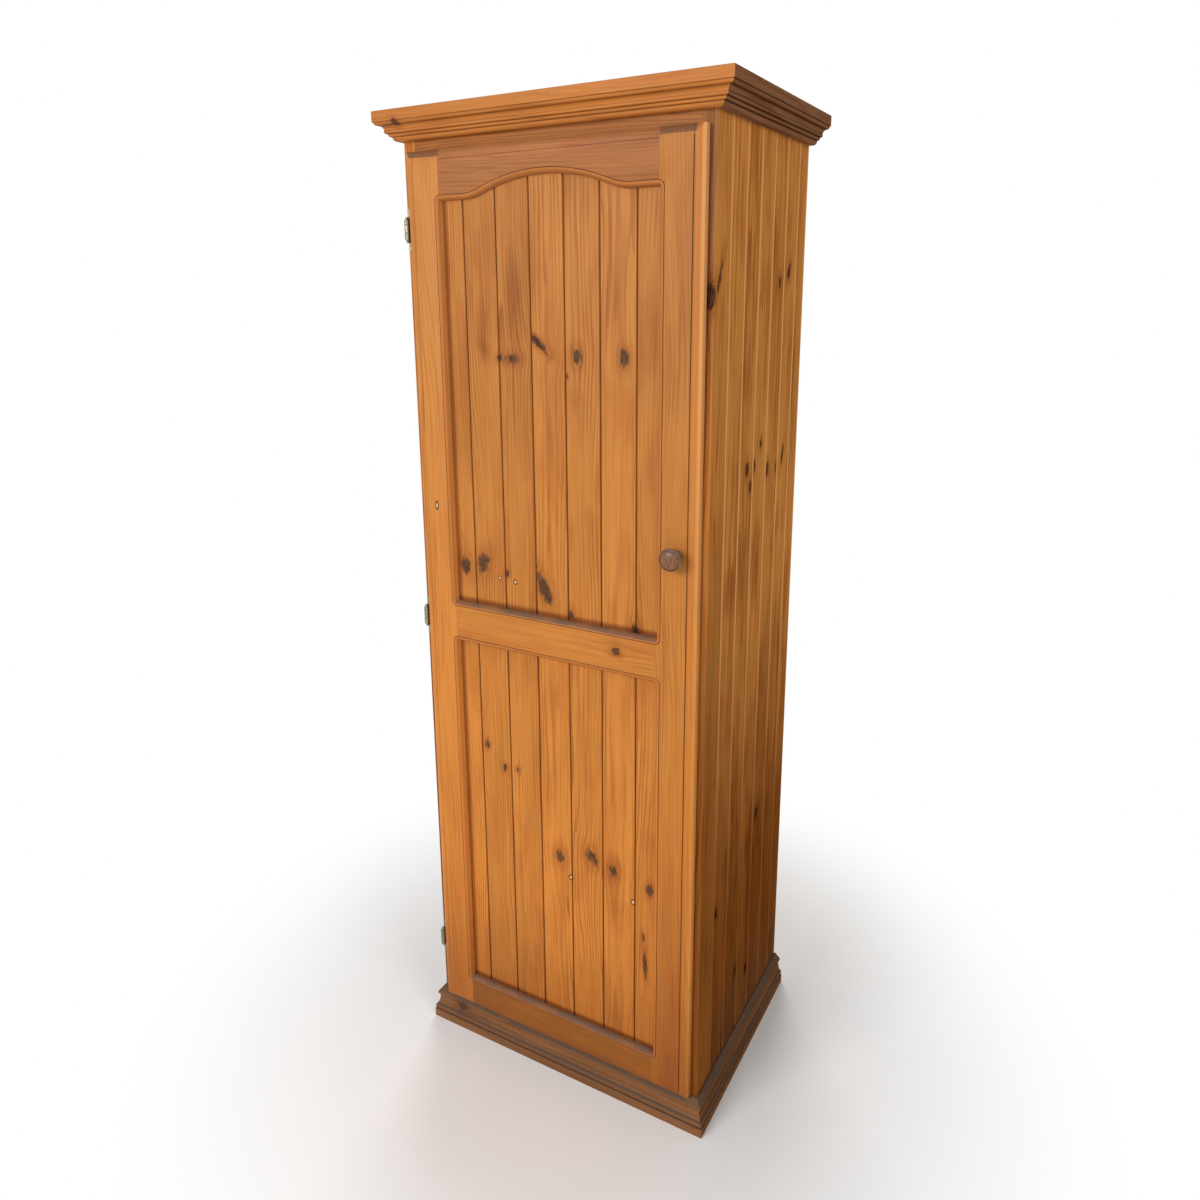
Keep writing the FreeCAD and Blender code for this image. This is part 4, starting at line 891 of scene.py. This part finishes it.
def screw_head(centre, radius, side, steps=8):
    """Slotted head of a countersunk screw in a plate that faces -Y or +Y.

    Rows run across the head at heights v from -1 to 1, and a row's half length is the root
    of 1 less v squared. The dome falls with the square of the distance from the middle,
    and the rows within the slot lie lower. A flat back in the plate closes it.
    """
    slot = 0.17
    rows = np.append(np.cos(np.linspace(0.06, 3.08, 2 * steps)),
                     [-slot - 0.02, -slot, slot, slot + 0.02])
    v, u = np.meshgrid(np.sort(rows), np.linspace(-1.0, 1.0, 2 * steps), indexing="ij")
    x = u * np.sqrt(1.0 - v ** 2)
    rise = 0.14 * MM * (1.0 - 0.75 * (x ** 2 + v ** 2))
    rise = np.where(np.abs(v) < slot + 0.01, 0.02 * MM, rise)
    points = [np.stack([centre[0] + x * radius, centre[1] + side * level,
                        centre[2] + v * radius], -1).reshape(-1, 3)
              for level in (rise, np.full(x.shape, -0.3 * MM))]
    place = np.arange(x.size).reshape(x.shape)
    sheet = np.stack([place[:-1, :-1], place[:-1, 1:], place[1:, 1:], place[1:, :-1]],
                     -1).reshape(-1, 4)
    rim = np.concatenate([place[0, :-1], place[:-1, -1], place[-1, :0:-1], place[:0:-1, 0]])
    after = np.roll(rim, -1)
    wall = np.stack([rim, after, after + x.size, rim + x.size], -1)
    return np.concatenate(points), np.concatenate([sheet, sheet + x.size, wall]).tolist()


def sight_line(foot, head, arched):
    """Edge of a panel opening seen from the front, as points and outward directions.

    A corner is c + r d and its outward direction d, for d turning a quarter. The arched
    head is a crown circle between two reverse circles of opposite outward direction, all
    tangent to each other and to the level shoulders.
    """
    left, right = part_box("door_hinge_stile")[1][0] / MM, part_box("door_knob_stile")[0][0] / MM
    middle = (left + right) / 2

    def arc(centre, radius, start, end, count, outward=1):
        angle = np.radians(np.linspace(start, end, count))
        way = np.stack([np.cos(angle), np.sin(angle)], -1)
        return np.asarray(centre) + radius * way, outward * way

    corner = SIGHT_CORNER
    pieces = [arc((left + corner, foot + corner), corner, 180, 270, 7),
              arc((right - corner, foot + corner), corner, 270, 360, 7),
              arc((right - corner, head - corner), corner, 0, 90, 7)]
    if arched:
        both = CROWN_RADIUS + REVERSE_RADIUS
        foot_x = (CROWN_RISE * (2 * both - CROWN_RISE)) ** 0.5
        lean = np.degrees(np.arcsin(foot_x / both))
        pieces += [arc((middle + foot_x, head + REVERSE_RADIUS), REVERSE_RADIUS,
                       -90, -90 - lean, 14, -1),
                   arc((middle, head + CROWN_RISE - CROWN_RADIUS), CROWN_RADIUS,
                       90 - lean, 90 + lean, 40),
                   arc((middle - foot_x, head + REVERSE_RADIUS), REVERSE_RADIUS,
                       -90 + lean, -90, 14, -1)]
    pieces.append(arc((left + corner, head - corner), corner, 90, 180, 7))
    return (np.concatenate([piece[i] for piece in pieces]) for i in (0, 1))


def sight_moulding(foot, head, arched):
    """Rounded moulding round a panel, with painted shade and grime in the step outside it and at
    the panel.

    A point is the sight line's point moved outward by the profile's first number, at the
    door's face raised by its second. The profile is closed inside the wood.
    """
    bead = [(9.0 * (1 - np.sin(a)) + 0.6, 0.35 - 10.2 * (1 - np.cos(a)))
            for a in np.linspace(0.12, np.pi / 2, 12)]
    profile = np.array([(9.8, -0.98), (9.3, -0.5), (8.95, 0.05)] + bead
                       + [(0.6, -10.9), (4.0, -11.2), (9.8, -3.0)])
    # Painted shade and grime down the profile: dark in the step, clean on the bead, darker down
    # the cove
    dirt = np.array([1.0, 1.0, 0.9, 0.4, 0.0, 0.0, 0.04, 0.1, 0.15, 0.2, 0.25, 0.35, 0.5, 0.7,
                     0.9, 0.9, 0.9, 0.9])
    base, outward = sight_line(foot, head, arched)
    flat = base[:, None, :] + outward[:, None, :] * profile[None, :, :1]
    deep = np.broadcast_to(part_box("door_knob_stile")[0][1] / MM - profile[:, 1], flat.shape[:2])
    points = np.stack([flat[..., 0], deep, flat[..., 1]], -1).reshape(-1, 3) * MM
    count, width = flat.shape[:2]
    mesh = bpy.data.meshes.new("sight_moulding")
    mesh.from_pydata(points.tolist(), [], ring_faces(count, width, count).tolist())
    step_length = np.linalg.norm(np.roll(base, -1, 0) - base, axis=1)
    run = np.append(0.0, np.cumsum(step_length))
    across = np.arange(width + 1) * 1.6
    row, column = np.meshgrid(np.arange(count), np.arange(width), indexing="ij")
    grid = np.stack([np.stack([run[row + down], across[column + aside]], -1)
                     for down, aside in ((0, 0), (0, 1), (1, 1), (1, 0))], 2)
    mesh.uv_layers.new(name="run").data.foreach_set("uv", (grid * MM).ravel())
    mesh.attributes.new("dirt", "FLOAT", "POINT").data.foreach_set("value", np.tile(dirt, count))
    return smoothed(mesh, 50)


def joined(surfaces):
    """One mesh of several surfaces, each given as its points and its faces."""
    points, faces, count = [], [], 0
    for own, rows in surfaces:
        points.append(own)
        faces += [[index + count for index in row] for row in rows]
        count += len(own)
    mesh = bpy.data.meshes.new("surface")
    mesh.from_pydata(np.concatenate(points).tolist(), [], faces)
    return smoothed(mesh, 40, 0.0005)


# Operators, one for each piece or group of like pieces

class CUPBOARD_OT_stage(bpy.types.Operator):
    """Set up the plain floor, the studio light and the camera"""

    bl_idname = "cupboard.stage"
    bl_label = "Stage"

    def execute(self, context):
        scene = context.scene
        scene.view_settings.view_transform = "Standard"
        self.floor(scene)
        self.lights(scene)
        self.world(scene)
        self.camera(scene)
        return {"FINISHED"}

    def seen(self, tree):
        """One for rays from the camera and for those in gloss or glass."""
        path = node("ShaderNodeLightPath", tree=tree)
        return sums("MAXIMUM", path["Is Camera Ray"],
                    sums("MAXIMUM", path["Is Glossy Ray"], path["Is Transmission Ray"]))

    def floor(self, scene):
        """Pale floor, white further out for the camera and in gloss."""
        mesh = bpy.data.meshes.new("floor")
        mesh.from_pydata([(x * FLOOR_HALF, y * FLOOR_HALF, 0)
                          for x, y in ((-1, -1), (1, -1), (1, 1), (-1, 1))],
                         [], [(0, 1, 2, 3)])
        floor = bpy.data.objects.new("floor", mesh)
        scene.collection.objects.link(floor)
        material, tree, place = new_material("studio_floor")
        mottle = step(noise(place, 3.0, 3.0), 0.3, 0.7, 0.98, 1.0)
        finish(material, {"Base Color": scaled(paint("floor"), mottle), "Roughness": 0.8})
        far = node("ShaderNodeVectorMath", {0: place}, operation="LENGTH")["Value"]
        white = node("ShaderNodeEmission", {"Color": WHITE, "Strength": 1.0}, tree)[0]
        mixed = node("ShaderNodeMixShader", {
            0: step(far, 0.42, 1.05) * self.seen(tree),
            1: Outputs(tree.nodes["Principled BSDF"])[0], 2: white})[0]
        feed(tree.nodes["Material Output"].inputs[0], mixed)
        mesh.materials.append(material)

    def lights(self, scene):
        """The soft boxes, each turned towards the point it faces."""
        for name, (spot, aim, side, power) in LIGHTS.items():
            lamp = bpy.data.lights.new(name, "AREA")
            lamp.shape = "SQUARE"
            lamp.size = side
            lamp.energy = power
            piece = bpy.data.objects.new(name, lamp)
            piece.location = spot
            scene.collection.objects.link(piece)
            way = piece.location.copy()
            way.x, way.y, way.z = (aim[i] - spot[i] for i in range(3))
            piece.rotation_euler = way.to_track_quat("-Z", "Y").to_euler()

    def world(self, scene):
        """Even grey light, with white behind the object for the camera and in gloss."""
        world = bpy.data.worlds.new("studio")
        scene.world = world
        world.use_nodes = True
        tree = world.node_tree
        tree.nodes.clear()
        even, white = (
            node("ShaderNodeBackground", {"Color": WHITE, "Strength": strength}, tree)[0]
            for strength in (0.38, 1.0))
        mixed = node("ShaderNodeMixShader", {0: self.seen(tree), 1: even, 2: white})[0]
        node("ShaderNodeOutputWorld", {0: mixed})

    def camera(self, scene):
        """The photograph's place, angle and framing."""
        lens = bpy.data.cameras.new("camera")
        lens.sensor_width = SENSOR_WIDTH
        lens.lens = FOCAL_PIXELS * SENSOR_WIDTH / IMAGE_SIZE
        lens.shift_x = (IMAGE_SIZE / 2 - CENTRE_PIXEL[0]) / IMAGE_SIZE
        lens.shift_y = (CENTRE_PIXEL[1] - IMAGE_SIZE / 2) / IMAGE_SIZE
        camera = bpy.data.objects.new("camera", lens)
        camera.location = [value * MM for value in CAMERA_PLACE]
        camera.rotation_euler = [radians(value) for value in CAMERA_TURN]
        scene.collection.objects.link(camera)
        scene.camera = camera


class CUPBOARD_OT_corner_posts(bpy.types.Operator):
    """Dress the front corner posts and the rails between them"""

    bl_idname = "cupboard.corner_posts"
    bl_label = "Front frame"

    def execute(self, context):
        for side, knots, shaded in (("left", (), False), ("right", CORNER_KNOTS, True)):
            name = f"{side}_face_stile"
            wooden(name, "corner", "side", centre=middle_of(name)[1], knots=knots,
                   stains=CORNER_PAINTED_SHADOW, seed=0.31, light=1.02, contrast=0.7, gloss=0.0,
                   joints=across_board(name, "y")[1:], joint=HIGHLIGHT_JOINT, shaded=shaded,
                   fades=POST_PAINTED_SHADE)
        dressed("frieze_rail", pine(
            "frieze_pine", "zyx", "cornice", centre=middle_of("frieze_rail")[2], seed=0.77,
            light=0.78, contrast=0.7))
        dressed("bottom_face_rail", pine(
            "bottom_face_pine", "zyx", "plinth", centre=middle_of("bottom_face_rail")[2],
            seed=0.27))
        return {"FINISHED"}


class CUPBOARD_OT_side_boards(bpy.types.Operator):
    """Dress the matched boards of both sides"""

    bl_idname = "cupboard.side_boards"
    bl_label = "Side boards"

    def execute(self, context):
        tones = (1.0, 0.93, 1.06, 0.92, 1.02, 0.96)
        for side, knots in (("left", LEFT_KNOTS), ("right", RIGHT_KNOTS)):
            for number, tone in enumerate(tones, 1):
                name = f"{side}_side_board_{number}"
                low, high = across_board(name, "y")
                wooden(name, "yxz", "side", centre=(low + high) / 2,
                       knots=near(knots, low, high),
                       seed=(number * 0.37 + len(side) * 0.11) % 1.0, light=tone, cloud=0.75,
                       contrast=0.75, joints=(low, high), joint=HIGHLIGHT_JOINT, gloss=0.0,
                       fades=SIDE_PAINTED_SHADE)
        return {"FINISHED"}


class CUPBOARD_OT_cornice(bpy.types.Operator):
    """Dress the cornice mouldings and the blocks behind them"""

    bl_idname = "cupboard.cornice"
    bl_label = "Cornice"

    def execute(self, context):
        shared = {"centre": middle_of("cornice_front")[2], "cloud": 0.4, "dust": 0.3,
                  "hollows": CORNICE_HOLLOWS}
        wooden("cornice_front", "zyx", "cornice", 0.5, knots=swapped(CORNICE_KNOTS),
               seed=0.52, hollow_depth=0.45, **shared)
        for side in ("left", "right"):
            wooden(f"cornice_{side}", "zxy", "return", 0.5, seed=0.12, hollow_depth=0.85,
                   gloss=0.0, **shared)
        dressed("cornice_blocks", pine("block_pine", "zyx", "inner"))
        return {"FINISHED"}


class CUPBOARD_OT_plinth(bpy.types.Operator):
    """Dress the plinth mouldings"""

    bl_idname = "cupboard.plinth"
    bl_label = "Plinth"

    def execute(self, context):
        shared = {"centre": middle_of("plinth_front")[2], "cloud": 0.5,
                  "hollows": PLINTH_HOLLOWS, "hollow_depth": 0.7}
        wooden("plinth_front", "zyx", "plinth", knots=swapped(PLINTH_KNOTS), seed=0.63,
               **shared)
        for side in ("left", "right"):
            wooden(f"plinth_{side}", "zxy", "plinth", seed=0.18, light=0.9, gloss=0.0,
                   **shared)
        return {"FINISHED"}


class CUPBOARD_OT_inside(bpy.types.Operator):
    """Dress the shelves, floor, top, battens, rear posts and back"""

    bl_idname = "cupboard.inside"
    bl_label = "Inside and back"

    def execute(self, context):
        panels = [name for name in frame["nodes"] if name.startswith("shelf_")]
        dress_all(panels + ["floor_panel", "top_panel"],
                  pine("shelf_pine", "yzx", "inner", seed=0.35, knots=SHELF_KNOTS, dust=0.15))
        dressed("side_battens", pine("batten_pine", "zxy", "inner", seed=0.9, dust=0.2))
        for side in ("left", "right"):
            wooden(f"{side}_rear_post", "xyz", "inner", seed=0.58)
        dressed("back_boards", pine(
            "back_pine", "xyz", "inner", start=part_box("back_boards")[0][0], knots=BACK_KNOTS,
            cloud=0.5, light=0.92, joint=BACK_JOINT))
        return {"FINISHED"}


class CUPBOARD_OT_door_frame(bpy.types.Operator):
    """Dress the stiles and rails of the door, and lay the mouldings round its panels"""

    bl_idname = "cupboard.door_frame"
    bl_label = "Door frame"

    def execute(self, context):
        left, sight_left = (corner[0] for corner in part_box("door_hinge_stile"))
        sight_right, right = (corner[0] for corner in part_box("door_knob_stile"))
        bottom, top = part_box("door_bottom_rail")[0][2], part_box("door_top_rail")[1][2]
        edge = EDGE_MOULDING * MM
        for name, line, seed, light, plugs, stains in (
                ("door_hinge_stile", left + edge, 0.22, 1.09, STILE_PLUGS,
                 HINGE_STILE_PAINTED_SHADE),
                ("door_knob_stile", right - edge, 0.68, 0.95, (), KNOB_STILE_PAINTED_SHADE)):
            wooden(name, "xyz", "front", plugs=plugs, stains=stains, seed=seed, light=light,
                   contrast=0.45, end_grain=True, moulded=True, dust=0.0, joints=(line,),
                   joint=STILE_LINE, fades=FRONT_PAINTED_LIGHT)
        for name, wood, lines, seed, light, dust, knots in (
                ("door_top_rail", "arch", (top - edge,), 0.41, 0.78, 0.15, ()),
                ("door_mid_rail", "front", (), 0.85, 0.97, 0.9, MID_RAIL_KNOTS),
                ("door_bottom_rail", "front", (bottom + edge,), 0.05, 0.66, 0.9, ())):
            wooden(name, "zyx", wood, knots=swapped(knots), seed=seed, light=light,
                   contrast=0.4, cloud=0.45, moulded=True, dust=dust, joints=lines,
                   joint=RAIL_LINE, ends=(sight_left, sight_right), fades=FRONT_PAINTED_LIGHT)
        trim = pine("sight_pine", "run", "moulding", seed=0.5, contrast=0.35, dust=1.0,
                    fades=FRONT_PAINTED_LIGHT, gloss=0.35)
        for word, below, above in (("lower", "bottom", "mid"), ("upper", "mid", "top")):
            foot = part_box(f"door_{below}_rail")[1][2] / MM
            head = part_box(f"door_{above}_rail")[0][2] / MM
            mesh = sight_moulding(foot, head, word == "upper")
            put(f"{word}_sight_moulding", mesh, trim, "door_mid_rail")
        return {"FINISHED"}


class CUPBOARD_OT_door_boards(bpy.types.Operator):
    """Dress the matched boards in the door"""

    bl_idname = "cupboard.door_boards"
    bl_label = "Door boards"

    def execute(self, context):
        tones = (1.0, 0.93, 0.94, 1.02, 0.96, 1.01, 0.95)
        edges = [("z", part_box(f"door_{word}_rail")[1][2]) for word in ("bottom", "mid")]
        edges += [("x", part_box("door_hinge_stile")[1][0])]
        for number, tone in enumerate(tones, 1):
            name = f"door_board_{number}"
            low, high = across_board(name, "x")
            knots, stains, plugs = (near(rows, low, high)
                                    for rows in (DOOR_KNOTS, DOOR_STAINS, DOOR_PLUGS))
            wooden(name, "xyz", "front", centre=(low + high) / 2, knots=knots,
                   stains=stains, plugs=plugs, seed=(number * 0.41) % 1.0, light=tone,
                   cloud=0.5, contrast=0.7, joints=(low, high), corners=edges,
                   fades=FRONT_PAINTED_LIGHT)
        return {"FINISHED"}


class CUPBOARD_OT_knob(bpy.types.Operator):
    """Turn the knob: a foot, a waist, a rounded rim and a ring round its domed face"""

    bl_idname = "cupboard.knob"
    bl_label = "Knob"

    def execute(self, context):
        x, _, z = middle_of("knob")
        centre = (x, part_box("knob")[1][1], z)
        profile = smooth_line(KNOB_PROFILE) * MM
        mesh = joined([turned_surface(profile, centre, sizes().knob_steps)])
        piece = put("turned_knob", mesh, turned_wood("turned_dark_wood", centre), "knob")
        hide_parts("knob")
        dressed("knob_screw", plated("screw_steel"), 0.3)
        return {"FINISHED"}


class CUPBOARD_OT_hinges(bpy.types.Operator):
    """Dress the hinges, and add the ends of their pins and the screws in their leaves"""

    bl_idname = "cupboard.hinges"
    bl_label = "Hinges"

    def execute(self, context):
        axis = middle_of("hinge_pins")[:2]
        brass = metal("aged_brass", paint("brass"), 0.36, BRASS_STAIN,
                      axis[0] + BRASS_SHADE_FROM_PIN * MM)
        dark = metal("dark_brass", DARK_BRASS, 0.4, DARK_BRASS_STAIN)
        dress_all([name for name in frame["nodes"] if name.endswith("_leaf")], brass, 0.35)
        dressed("hinge_pins", brass, 0.0)
        end = smooth_line(PIN_END_PROFILE, 4) * MM
        ends, frame_heads, door_heads = [], [], []
        for word in ("lower", "middle", "upper"):
            height = middle_of(f"{word}_frame_leaf")[2]
            frame_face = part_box(f"{word}_frame_leaf")[1][1] - 1.5 * MM
            door_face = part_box(f"{word}_door_leaf")[1][1]
            for way in (1, -1):
                ends.append(turned_surface(
                    end * (1, way), (*axis, height + way * HALF_BARREL * MM), 24, "z"))
                for x, z in FRAME_SCREWS:
                    frame_heads.append(screw_head(
                        (x * MM, frame_face, height + way * z * MM), SCREW_RADIUS * MM, -1))
                x, z = DOOR_SCREW
                door_heads.append(screw_head(
                    (x * MM, door_face, height + way * z * MM), SCREW_RADIUS * MM, 1))
        put("pin_ends", joined(ends), brass, "hinge_pins")
        put("frame_screw_heads", joined(frame_heads), dark, "upper_frame_leaf")
        put("door_screw_heads", joined(door_heads), dark, "upper_door_leaf")
        return {"FINISHED"}


class CUPBOARD_OT_catch(bpy.types.Operator):
    """Dress the magnetic catch and its plate"""

    bl_idname = "cupboard.catch"
    bl_label = "Catch"

    def execute(self, context):
        dressed("catch_body", plastic("moulded_brown_plastic"))
        dressed("catch_plate", plated("plate_steel"), 0.2)
        return {"FINISHED"}


class CUPBOARD_PT_panel(bpy.types.Panel):
    """Sizes, colours and pieces of the cupboard"""

    bl_label = "Cupboard"
    bl_space_type = "VIEW_3D"
    bl_region_type = "UI"
    bl_category = "Cupboard"

    def draw(self, context):
        for group in (context.scene.cupboard_sizes, context.scene.cupboard_colours):
            column = self.layout.column()
            for name in group.__annotations__:
                column.prop(group, name)
        for operator in OPERATORS:
            self.layout.operator(operator.bl_idname)


OPERATORS = (
    CUPBOARD_OT_stage,
    CUPBOARD_OT_corner_posts,
    CUPBOARD_OT_side_boards,
    CUPBOARD_OT_cornice,
    CUPBOARD_OT_plinth,
    CUPBOARD_OT_inside,
    CUPBOARD_OT_door_frame,
    CUPBOARD_OT_door_boards,
    CUPBOARD_OT_knob,
    CUPBOARD_OT_hinges,
    CUPBOARD_OT_catch,
)
CLASSES = (CupboardSizes, CupboardColours, *OPERATORS, CUPBOARD_PT_panel)


def register():
    """Make the classes and the scene's properties known."""
    for item in CLASSES:
        bpy.utils.register_class(item)
    bpy.types.Scene.cupboard_sizes = bpy.props.PointerProperty(type=CupboardSizes)
    bpy.types.Scene.cupboard_colours = bpy.props.PointerProperty(type=CupboardColours)


def unregister():
    """Take the classes and the scene's properties away."""
    del bpy.types.Scene.cupboard_colours
    del bpy.types.Scene.cupboard_sizes
    for item in reversed(CLASSES):
        bpy.utils.unregister_class(item)


def main():
    """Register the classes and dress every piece."""
    register()
    for operator in OPERATORS:
        family, name = operator.bl_idname.split(".")
        getattr(getattr(bpy.ops, family), name)()


if __name__ == "__main__":
    main()
